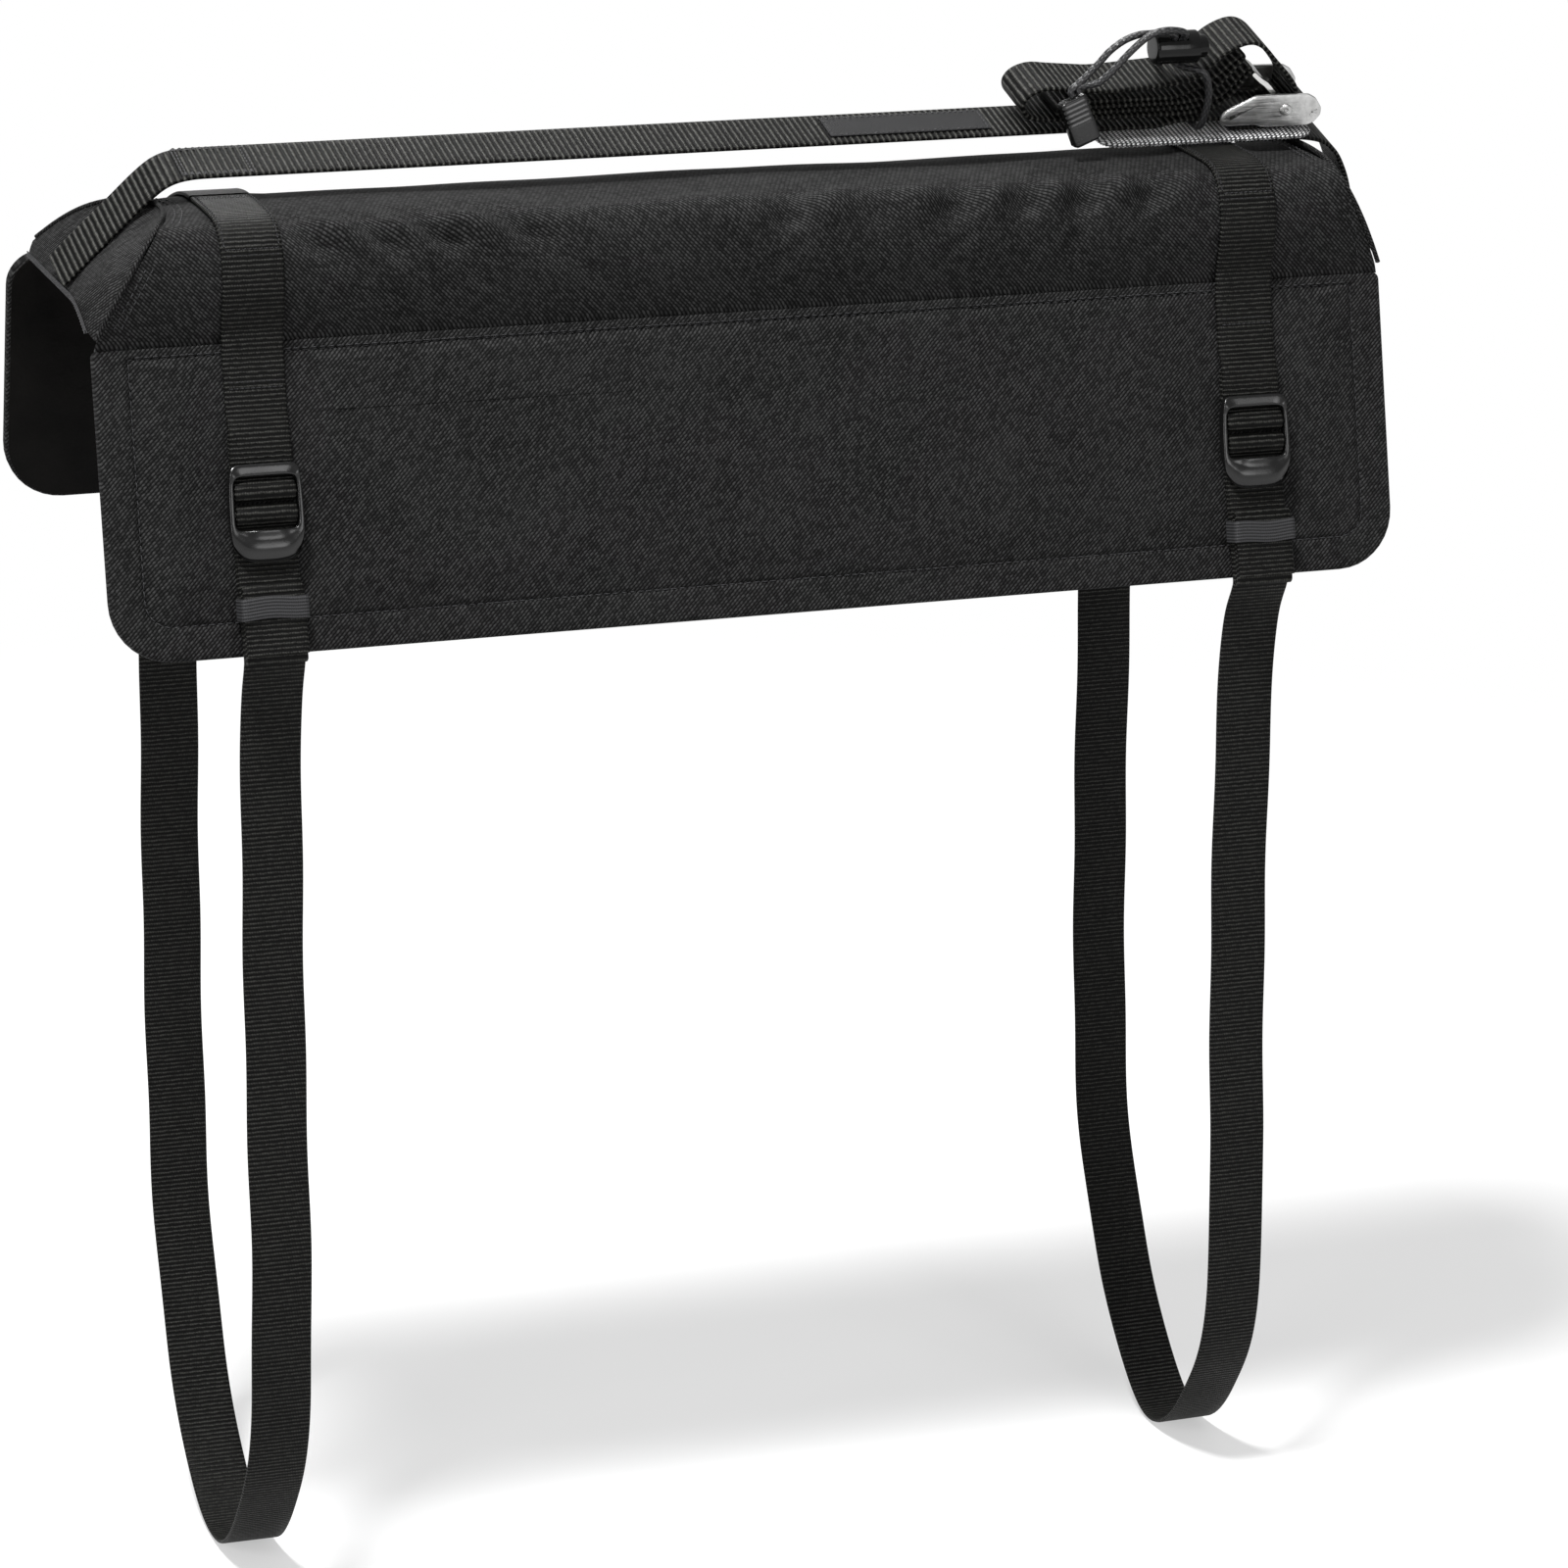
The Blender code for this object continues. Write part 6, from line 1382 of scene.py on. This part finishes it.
class PAD_OT_buckle_pad(bpy.types.Operator):
    """Grey knitted pad under the cam buckle."""

    bl_idname = "pad.buckle_pad"
    bl_label = "Buckle pad"

    def execute(self, context):
        left, right, width, thick, top = PAD_STRIP
        pitch = sizes().knit
        x = np.linspace(left, right, 380)
        turn = np.linspace(0, 2 * math.pi, 260, endpoint=False)
        c = np.sign(np.cos(turn)) * np.abs(np.cos(turn)) ** 0.16
        s = np.sign(np.sin(turn)) * np.abs(np.sin(turn)) ** 0.5
        end = np.clip(np.minimum(x - left, right - x) / 0.009, 0.0, 1.0)
        taper = np.sqrt(np.clip(1 - (1 - end) ** 2, 0.0, 1.0))
        reach = (width / 2 - 0.0012) * (0.56 + 0.44 * taper)
        across = reach[:, None] * c[None]
        depth = (thick / 2 - 0.0002) * (0.35 + 0.65 * taper)[:, None] * s[None]
        lower = np.where(s < 0, 1.0, 0.0)[None]
        across = across * (1 - 0.10 * lower * np.abs(s)[None])
        height = top - thick / 2 + depth
        loop = np.abs(np.mod(across / pitch, 1.0) - 0.5) * 2
        rows = 0.5 + 0.5 * np.cos(2 * math.pi * (x[:, None] / (0.8 * pitch) + 0.45 * loop))
        bump = 0.00042 * rows * (0.5 + 0.5 * np.cos(4 * math.pi * across / pitch)) - 0.00020
        grid = in_cinch(np.stack([np.broadcast_to(x[:, None], across.shape), across + bump * c[None],
                                  height + bump * np.sign(s)[None] * np.abs(s)[None] ** 0.2], axis=-1))
        ring = np.stack([width / 2 * c, thick / 2 * s], axis=1)
        girth = np.cumsum(np.linalg.norm(np.diff(ring, axis=0, append=ring[:1]), axis=1))
        u = np.broadcast_to(np.concatenate([[0.0], girth]), (len(x), 261))
        uv = np.stack([u, np.broadcast_to(x[:, None], u.shape)], axis=-1)
        piece = add_surface("knit_pad", grid, finish(knitted_pad), uv)
        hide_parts("buckle_pad")
        return {"FINISHED"}


# Cam buckle

def plate_outline(inset, count=140):
    """Outline of the buckle's side plate, drawn in by an inset, as (x, height)."""
    points = np.array([(0.2201, 0.0507), (0.2210, 0.0532), (0.2240, 0.0553), (0.2300, 0.0583),
                       (0.2360, 0.0612), (0.2440, 0.0612), (0.2520, 0.0610), (0.2598, 0.0608),
                       (0.2634, 0.0588), (0.2668, 0.0540), (0.2669, 0.0509), (0.2646, 0.0476),
                       (0.2613, 0.0460), (0.2540, 0.0460), (0.2470, 0.0460), (0.2402, 0.0461),
                       (0.2365, 0.0474), (0.2300, 0.0475), (0.2240, 0.0473), (0.2212, 0.0483),
                       (0.2201, 0.0507)])
    line = eased(np.vstack([points[-4:-1], points, points[1:4]]), 0.0003, 0.0005)
    first = np.argmin(np.linalg.norm(line[:60] - points[0], axis=1))
    last = len(line) - 60 + np.argmin(np.linalg.norm(line[-60:] - points[0], axis=1))
    line = spaced(np.vstack([line[first:last], line[first:first + 1]]), count + 1)[:-1]
    slope = np.roll(line, -1, axis=0) - np.roll(line, 1, axis=0)
    return line + unit(np.stack([slope[:, 1], -slope[:, 0]], axis=1)) * inset


def plate_grid(near, far):
    """A side plate with rounded edges, between two places across the strap."""
    soft = 0.0004
    toward = 1 if far > near else -1
    edge = ((0.0, 0.0045), (0.0, 0.0020), (0.0, soft), (0.3, 0.3 * soft), (1.0, 0.0))
    rings = [(near + toward * share * soft, inset) for share, inset in edge]
    rings += [(far - toward * share * soft, inset) for share, inset in reversed(edge)]
    grid = []
    for place, inset in rings:
        line = plate_outline(inset)
        grid.append(in_cinch(np.column_stack([line[:, 0], np.full(len(line), place), line[:, 1]])))
    return np.array(grid)


def turned_grid(section, centre, axis, start, sides):
    """A profile of (radius, along) turned round an axis."""
    section = np.asarray(section, float)
    third = np.cross(axis, start)
    angle = np.linspace(0, 2 * math.pi, sides, endpoint=False)
    spoke = np.cos(angle)[:, None] * start + np.sin(angle)[:, None] * third
    return centre + section[:, 1, None, None] * axis + section[:, 0, None, None] * spoke[None]


def lever_outline():
    """Outline of the cam lever: toothed cam and curved thumb tab, as (x, height) round it."""
    angle = np.radians(np.linspace(215, 425, 90))
    teeth = 0.0003 * np.clip(np.sin(angle * 19), -0.4, 1.0) * (np.degrees(angle) < 330)
    cam = (CAM_RADIUS + teeth)[:, None] * np.stack([np.cos(angle), np.sin(angle)], axis=1)
    upper = smooth_line([cam[-1], (-0.0022, 0.0046), (-0.0072, 0.0102), (-0.0112, 0.0130),
                         (-0.0146, 0.0158)], 40)
    tip = np.array([(-0.0153, 0.0160), (-0.0159, 0.0153)])
    lower = smooth_line([(-0.0158, 0.0146), (-0.0122, 0.0114), (-0.0086, 0.0086), (-0.0040, 0.0030),
                         cam[0] + [-0.0001, 0.0004]], 40)
    return np.vstack([cam, upper[1:], tip, lower]) + [PIN_X, PIN_HEIGHT]


class PAD_OT_cam_buckle(bpy.types.Operator):
    """Die-cast cam buckle: two side plates, floor and bar, chromed lever, rivet pin and spring."""

    bl_idname = "pad.cam_buckle"
    bl_label = "Cam buckle"

    def execute(self, context):
        zinc = finish(brushed_zinc)
        inside = FRAME_INSIDE
        outside = inside + SIDE_PLATE_THICKNESS
        near = add_surface("near_side_plate", plate_grid(-outside, -inside), zinc)
        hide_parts("cam_buckle_frame")
        far = add_surface("far_side_plate", plate_grid(inside, outside), zinc)
        top = BUCKLE_STRAP_HEIGHT - WEB_THICKNESS / 2 - GAP
        floor = np.array([(0.2275, top - 0.0012), (0.2470, top - 0.0012), (0.2480, top - 0.0006),
                          (0.2470, top), (0.2275, top), (0.2265, top - 0.0006), (0.2275, top - 0.0012)])
        bar = arc((ANCHOR_BAR_X, ANCHOR_BAR_HEIGHT), ANCHOR_BAR_RADIUS, 0, 360, 33)
        for name, line in (("buckle_floor", spaced(floor, 60)[:-1]), ("anchor_bar", bar[:-1])):
            rings = [in_cinch(np.column_stack([line[:, 0], np.full(len(line), a), line[:, 1]]))
                     for a in (-inside - 0.0003, inside + 0.0003)]
            piece = add_surface(name, np.array(rings), zinc)

        line = lever_outline()
        reach = inside - 0.0012
        middle = line.mean(axis=0)
        tab = smoothstep((line[:, 1] - PIN_HEIGHT - 0.0045) / 0.006)
        rings = []
        for place, shrink in ((-reach, 0.05), (-reach, 0.012), (-reach + 0.0004, 0.0), (-reach / 2, 0.0),
                              (0.0, 0.0), (reach / 2, 0.0), (reach - 0.0004, 0.0), (reach, 0.012),
                              (reach, 0.05)):
            drawn = line + (middle - line) * shrink
            across = place * (1 - 0.16 * tab ** 2)
            rings.append(in_cinch(np.column_stack([drawn[:, 0], across, drawn[:, 1]])))
        piece = add_surface("lever_body", np.array(rings), finish(chrome_plate), body="lever")
        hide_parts("cam_lever")

        head, pin = PIN_HEAD_RADIUS, PIN_RADIUS
        section = [(0.0, outside + 0.0008), (0.0007, outside + 0.0008), (0.0009, outside + 0.0005),
                   (0.0011, outside + 0.0009), (0.0018, outside + 0.0009), (0.0025, outside + 0.0007),
                   (head, outside + 0.0004), (head, outside + 0.0001), (pin, outside)]
        section += [(r, -a) for r, a in reversed(section)]
        centre = in_cinch(np.array([PIN_X, 0.0, PIN_HEIGHT]))
        grid = turned_grid(section[1:-1], centre, CINCH_ACROSS, ALONG_X, 40)
        piece = add_surface("rivet_pin", grid, zinc)
        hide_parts("cam_pin")

        wire, room = SPRING_WIRE, 6.4 * SPRING_WIRE
        angle = np.linspace(0, 8 * math.pi, 160)
        radius = pin + GAP + wire / 2
        advance = inside - 0.0009 - room + wire + (room - 1.4 * wire) * np.linspace(0, 1, 160)
        path = (centre + advance[:, None] * CINCH_ACROSS + radius * np.cos(angle)[:, None] * ALONG_X
                + radius * np.sin(angle)[:, None] * CINCH_OUT)
        piece = add_tube("lever_spring", path, wire / 2, finish(spring_steel), 10)
        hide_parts("cam_spring")
        return {"FINISHED"}


# Cord and cord lock

def lock_way():
    """Direction of the cord's hole through the lock, downwards and to the rear."""
    return np.array([0.0, math.sin(LOCK_HOLE_TURN), -math.cos(LOCK_HOLE_TURN)])


def cord_route():
    """Centre line of the elastic cord: from its end, through the lock, round the bundle and back."""
    lean = CORD_END_LEAN
    right = np.array([math.cos(lean), 0.0, math.sin(lean)])
    up = np.array([-math.sin(lean), 0.0, math.cos(lean)])
    top = np.array(CORD_END_CENTRE) + up * (CORD_END_SIZE[2] / 2 + 3 * GAP)
    first, last = LOCK_STRANDS

    def in_lock(x, along):
        """A place in the lock's hole, along it from the barrel's middle."""
        return tuple(np.array([x, LOCK_Y, LOCK_Z]) + along * lock_way())

    out_strand = [tuple(top + right * 0.0008), tuple(top + right * 0.0008 + up * 0.0022),
                  (0.1512, -0.0206, 0.0662), (0.1552, -0.0208, 0.0698), (0.1602, -0.0210, 0.0748),
                  (0.1652, -0.0212, 0.0801), (0.1715, -0.0213, 0.0843), (0.1781, -0.0215, 0.0865),
                  (0.1834, -0.0221, 0.0869), (0.1885, -0.0227, 0.0874), (0.1922, -0.0231, 0.0870),
                  (0.1942, -0.0226, 0.0856), in_lock(first, -0.0040)]
    wrap = [(0.1945, -0.0022, 0.0735), (0.1949, 0.0010, 0.0714), (0.1958, 0.0060, 0.0709),
            (0.1972, 0.0110, 0.0711), (0.1988, 0.0146, 0.0706), (0.2003, 0.0156, 0.0672),
            (0.2016, 0.0155, 0.0620), (0.2032, 0.0154, 0.0560), (0.2046, 0.0154, 0.0515),
            (0.2056, 0.0147, 0.0483), (0.2064, 0.0118, 0.0470), (0.2075, 0.0060, 0.0471),
            (0.2085, 0.0000, 0.0470), (0.2095, -0.0060, 0.0471), (0.2105, -0.0118, 0.0470),
            (0.2112, -0.0147, 0.0483), (0.2118, -0.0154, 0.0515), (0.2124, -0.0155, 0.0570),
            (0.2124, -0.0155, 0.0630), (0.2112, -0.0154, 0.0690), (0.2092, -0.0150, 0.0732),
            (0.2062, -0.0125, 0.0740), (0.2034, -0.0085, 0.0731), (0.2010, -0.0050, 0.0730),
            (0.1995, -0.0033, 0.0741)]
    back_strand = [in_lock(last, 0.0), in_lock(last, -0.0040), (0.1986, -0.0234, 0.0860),
                   (0.1965, -0.0250, 0.0876), (0.1920, -0.0260, 0.0886), (0.1875, -0.0261, 0.0887),
                   (0.1833, -0.0258, 0.0877), (0.1786, -0.0254, 0.0851), (0.1717, -0.0250, 0.0790),
                   (0.1648, -0.0244, 0.0717), (0.1600, -0.0231, 0.0673), (0.1555, -0.0214, 0.0660),
                   tuple(top + right * 0.0042 + up * 0.0022), tuple(top + right * 0.0042)]
    middle = [in_lock(first, 0.0), in_lock(first, 0.0066), *in_cinch(wrap).tolist(), in_lock(last, 0.0066)]
    return smooth_line(out_strand + middle + back_strand, step=0.0008)


class PAD_OT_cord(bpy.types.Operator):
    """Elastic cord round the bundle, and the ribbed end that joins it."""

    bl_idname = "pad.cord"
    bl_label = "Cord"

    def execute(self, context):
        route = cord_route()
        piece = add_tube("bundle_elastic", route, CORD_DIAMETER / 2, finish(braided_cord), 20)
        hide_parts("bundle_cord")

        width, depth, height = CORD_END_SIZE
        lean = CORD_END_LEAN
        right = np.array([math.cos(lean), 0.0, math.sin(lean)])
        up = np.array([-math.sin(lean), 0.0, math.cos(lean)])
        back = np.array([0.0, 1.0, 0.0])
        level = np.linspace(-0.5, 0.5, 160)
        rib = 0.5 + 0.5 * np.cos(2 * math.pi * (level - 0.02) / 0.105)
        upper = smoothstep((level + 0.08) / 0.06) * smoothstep((0.47 - level) / 0.03)
        share = 1.0 - 0.05 * rib * upper - 0.16 * smoothstep((np.abs(level) - 0.44) / 0.06) ** 2
        turn = np.linspace(0, 2 * math.pi, 48, endpoint=False)
        c = np.sign(np.cos(turn)) * np.abs(np.cos(turn)) ** 0.32
        s = np.sign(np.sin(turn)) * np.abs(np.sin(turn)) ** 0.32
        grid = (np.array(CORD_END_CENTRE) + (level * height)[:, None, None] * up
                + (share[:, None] * c[None] * width / 2)[..., None] * right
                + (share[:, None] * s[None] * depth / 2)[..., None] * back)
        piece = add_surface("cord_end_clip", grid, finish(moulded_acetal, 0.26, 0.00006, 0.5))
        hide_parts("cord_end")
        return {"FINISHED"}


def cut(piece, points):
    """Cut a closed block out of a piece and keep the result as its mesh."""
    quads = np.array([(0, 1, 2, 3), (4, 5, 6, 7), (0, 1, 5, 4), (1, 2, 6, 5), (2, 3, 7, 6), (3, 0, 4, 7)])
    tool = add_mesh("cutter", points, quads, piece.data.materials[0])
    knife = piece.modifiers.new("Cut", "BOOLEAN")
    knife.operation = "DIFFERENCE"
    knife.solver = "EXACT"
    knife.object = tool
    result = bpy.data.meshes.new_from_object(piece.evaluated_get(bpy.context.evaluated_depsgraph_get()))
    piece.modifiers.clear()
    piece.data = result
    result.shade_smooth()
    result.set_sharp_from_angle(angle=math.radians(40.0))
    bpy.data.objects.remove(tool, do_unlink=True)


class PAD_OT_cord_lock(bpy.types.Operator):
    """Cord lock: glossy barrel, push button and spring."""

    bl_idname = "pad.cord_lock"
    bl_label = "Cord lock"

    def execute(self, context):
        gloss = finish(moulded_acetal, 0.13, 0.00001)
        centre = np.array([0.0, LOCK_Y, LOCK_Z])
        right = LOCK_LEFT + LOCK_LENGTH
        bore, floor = LOCK_RADIUS - LOCK_WALL, LOCK_LEFT + LOCK_FLOOR
        axis, spoke = ALONG_X, np.array([0.0, 1.0, 0.0])
        soft = 0.0016
        edge = arc((LOCK_LEFT + soft, LOCK_RADIUS - soft), soft, 180, 90, 10)[:, ::-1]
        rim = arc((right - 0.0006, LOCK_RADIUS - 0.0006), 0.0006, 90, 0, 6)[:, ::-1]
        shell = np.vstack([[(0.0001, LOCK_LEFT), (0.003, LOCK_LEFT)], edge,
                           [(LOCK_RADIUS, LOCK_LEFT + 0.008), (LOCK_RADIUS, right - 0.006)], rim,
                           [(bore + 0.0002, right), (bore, right - 0.0003), (bore, floor), (0.0001, floor)]])
        barrel = add_surface("lock_barrel", turned_grid(shell, centre, axis, spoke, 64), gloss)
        foot = floor + LOCK_SPRING_ROOM
        stem = bore - GAP
        end = right + PLUNGER_STANDOUT
        dome = arc((end - 0.0012, stem - 0.0012), 0.0012, 90, 0, 8)[:, ::-1]
        button = np.vstack([[(0.0001, foot), (stem - 0.0002, foot), (stem, foot + 0.0002),
                             (stem, end - 0.005)], dome,
                            [(0.0030, end), (0.0026, end - 0.0004), (0.0001, end - 0.0004)]])
        grid = turned_grid(button, centre, axis, spoke, 64)
        plunger = add_surface("lock_button", grid, gloss, body="plunger")
        way = lock_way()
        side = np.cross(way, axis)
        gap = CORD_DIAMETER / 2 + GAP
        first, last = LOCK_STRANDS
        low = first - gap
        for piece, high in ((barrel, last + gap), (plunger, last + gap + PLUNGER_TRAVEL + GAP)):
            block = [centre + along * way + across * side + x * ALONG_X for along in (-0.012, 0.012)
                     for x, across in ((low, -gap), (high, -gap), (high, gap), (low, gap))]
            cut(piece, np.array(block))
        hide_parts("cord_lock_barrel")
        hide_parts("cord_lock_plunger")
        turns, wire = 3.5, SPRING_WIRE
        start, reach = floor + wire / 2 + 0.0001, LOCK_SPRING_ROOM - wire - 0.0002
        angle = np.linspace(0, 2 * math.pi * turns, 300)
        coil = centre + np.stack([start + reach * angle / angle[-1], (bore - 0.0011) * np.cos(angle),
                                  (bore - 0.0011) * np.sin(angle)], axis=1)
        spring = add_tube("lock_spring", coil, wire / 2, finish(spring_steel), 10)
        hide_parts("cord_lock_spring")
        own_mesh(spring)
        return {"FINISHED"}


# Stage

def placed(x_axis, y_axis, z_axis, place):
    """Matrix of an object from its three axes and its place."""
    matrix = np.eye(4)
    matrix[:3] = np.column_stack([x_axis, y_axis, z_axis, place])
    return Matrix(matrix.tolist())


class PAD_OT_stage(bpy.types.Operator):
    """Pale floor, soft light and the camera."""

    bl_idname = "pad.stage"
    bl_label = "Stage"

    def execute(self, context):
        scene = context.scene
        scene.view_settings.view_transform = "Standard"
        camera = bpy.data.objects.new("camera", bpy.data.cameras.new("camera"))
        scene.collection.objects.link(camera)
        camera.data.lens = FOCAL_LENGTH
        camera.data.sensor_width = FILM_WIDTH
        camera.data.clip_start = 0.1
        camera.data.clip_end = 30
        level = math.cos(CAMERA_HEIGHT)
        back = np.array([-math.sin(CAMERA_AZIMUTH) * level, -math.cos(CAMERA_AZIMUTH) * level,
                         math.sin(CAMERA_HEIGHT)])
        across = unit(np.cross(-back, [0.0, 0.0, 1.0]))
        upright = np.cross(back, across)
        x_axis = math.cos(CAMERA_ROLL) * across + math.sin(CAMERA_ROLL) * upright
        place = np.array(CAMERA_TARGET) + back * CAMERA_DISTANCE
        camera.matrix_world = placed(x_axis, np.cross(back, x_axis), back, place)
        scene.camera = camera

        material = bpy.data.materials.new("pale_floor")
        material.use_nodes = True
        tree = material.node_tree
        tree.nodes.clear()
        matt = add_node(tree, "ShaderNodeBsdfDiffuse", {"Color": (0.9, 0.9, 0.9, 1.0)})
        white = add_node(tree, "ShaderNodeEmission", {"Color": (1.0, 1.0, 1.0, 1.0), "Strength": 1.0})
        spot = add_node(tree, "ShaderNodeTexCoord").outputs["Object"]
        reach = add_node(tree, "ShaderNodeVectorMath", {0: spot}, operation="LENGTH").outputs["Value"]
        fade = add_node(tree, "ShaderNodeMapRange", {0: reach, 1: 0.75, 2: 1.4, 3: 0.45, 4: 1.0}).outputs[0]
        mixed = add_node(tree, "ShaderNodeMixShader", {0: fade, 1: matt.outputs[0], 2: white.outputs[0]})
        output = add_node(tree, "ShaderNodeOutputMaterial", {0: mixed.outputs[0]})
        tree.nodes.active = output
        mesh = bpy.data.meshes.new("floor")
        corners = [(x * FLOOR_REACH, y * FLOOR_REACH, -FLOOR_DROP)
                   for x, y in ((-1, -1), (1, -1), (1, 1), (-1, 1))]
        mesh.from_pydata(corners, [], [(0, 1, 2, 3)])
        mesh.materials.append(material)
        floor = bpy.data.objects.new("floor", mesh)
        scene.collection.objects.link(floor)

        beside_floor = bpy.data.collections.new("lit_pieces")
        beside_floor.objects.link(floor)
        beside_floor.collection_objects[0].light_linking.link_state = "EXCLUDE"
        for name, (spot_at, width, watts) in LIGHTS.items():
            lamp = bpy.data.lights.new(name, "AREA")
            lamp.size = width
            lamp.energy = watts
            lamp_object = bpy.data.objects.new(name, lamp)
            scene.collection.objects.link(lamp_object)
            if name in LIGHTS_OFF_FLOOR:
                lamp_object.light_linking.receiver_collection = beside_floor
            toward = unit(np.array([0.0, 0.0, -0.1]) - np.array(spot_at))
            side = unit(np.cross(toward, [0.0, 0.0, 1.0]))
            lamp_object.matrix_world = placed(side, np.cross(side, toward), -toward, spot_at)

        world = bpy.data.worlds.new("pale_room")
        scene.world = world
        world.use_nodes = True
        tree = world.node_tree
        tree.nodes.clear()
        rays = add_node(tree, "ShaderNodeLightPath")
        seen = maths(tree, "MAXIMUM", rays.outputs["Is Camera Ray"], rays.outputs["Is Transmission Ray"])
        room = add_node(tree, "ShaderNodeBackground", {"Color": (1.0, 1.0, 1.0, 1.0), "Strength": 0.40})
        paper = add_node(tree, "ShaderNodeBackground", {"Color": (1.0, 1.0, 1.0, 1.0), "Strength": 1.0})
        mixed = add_node(tree, "ShaderNodeMixShader", {0: seen, 1: room.outputs[0], 2: paper.outputs[0]})
        add_node(tree, "ShaderNodeOutputWorld", {0: mixed.outputs[0]})
        return {"FINISHED"}


OPERATORS = (PAD_OT_stage, PAD_OT_cord, PAD_OT_roll, PAD_OT_gussets, PAD_OT_flaps, PAD_OT_tailgate_straps,
             PAD_OT_keepers, PAD_OT_ladder_locks, PAD_OT_cinch_strap, PAD_OT_buckle_pad, PAD_OT_cam_buckle,
             PAD_OT_cord_lock)


class PAD_PT_panel(bpy.types.Panel):
    """Lists the pad's pieces."""

    bl_label = "Tailgate pad"
    bl_idname = "PAD_PT_panel"
    bl_space_type = "VIEW_3D"
    bl_region_type = "UI"
    bl_category = "Pad"

    def draw(self, context):
        for operator in OPERATORS:
            self.layout.operator(operator.bl_idname)
        for group in (context.scene.pad_sizes, context.scene.pad_colours):
            for key in group.__annotations__:
                self.layout.prop(group, key)


CLASSES = (PadSizes, PadColours, *OPERATORS, PAD_PT_panel)


def register():
    """Register the classes and the scene's settings."""
    for item in CLASSES:
        bpy.utils.register_class(item)
    bpy.types.Scene.pad_sizes = bpy.props.PointerProperty(type=PadSizes)
    bpy.types.Scene.pad_colours = bpy.props.PointerProperty(type=PadColours)


def unregister():
    """Take the classes and settings away."""
    del bpy.types.Scene.pad_colours
    del bpy.types.Scene.pad_sizes
    for item in reversed(CLASSES):
        bpy.utils.unregister_class(item)


def main():
    """Build every piece and the stage."""
    register()
    for operator in OPERATORS:
        group, name = operator.bl_idname.split(".")
        getattr(getattr(bpy.ops, group), name)()


if __name__ == "__main__":
    main()
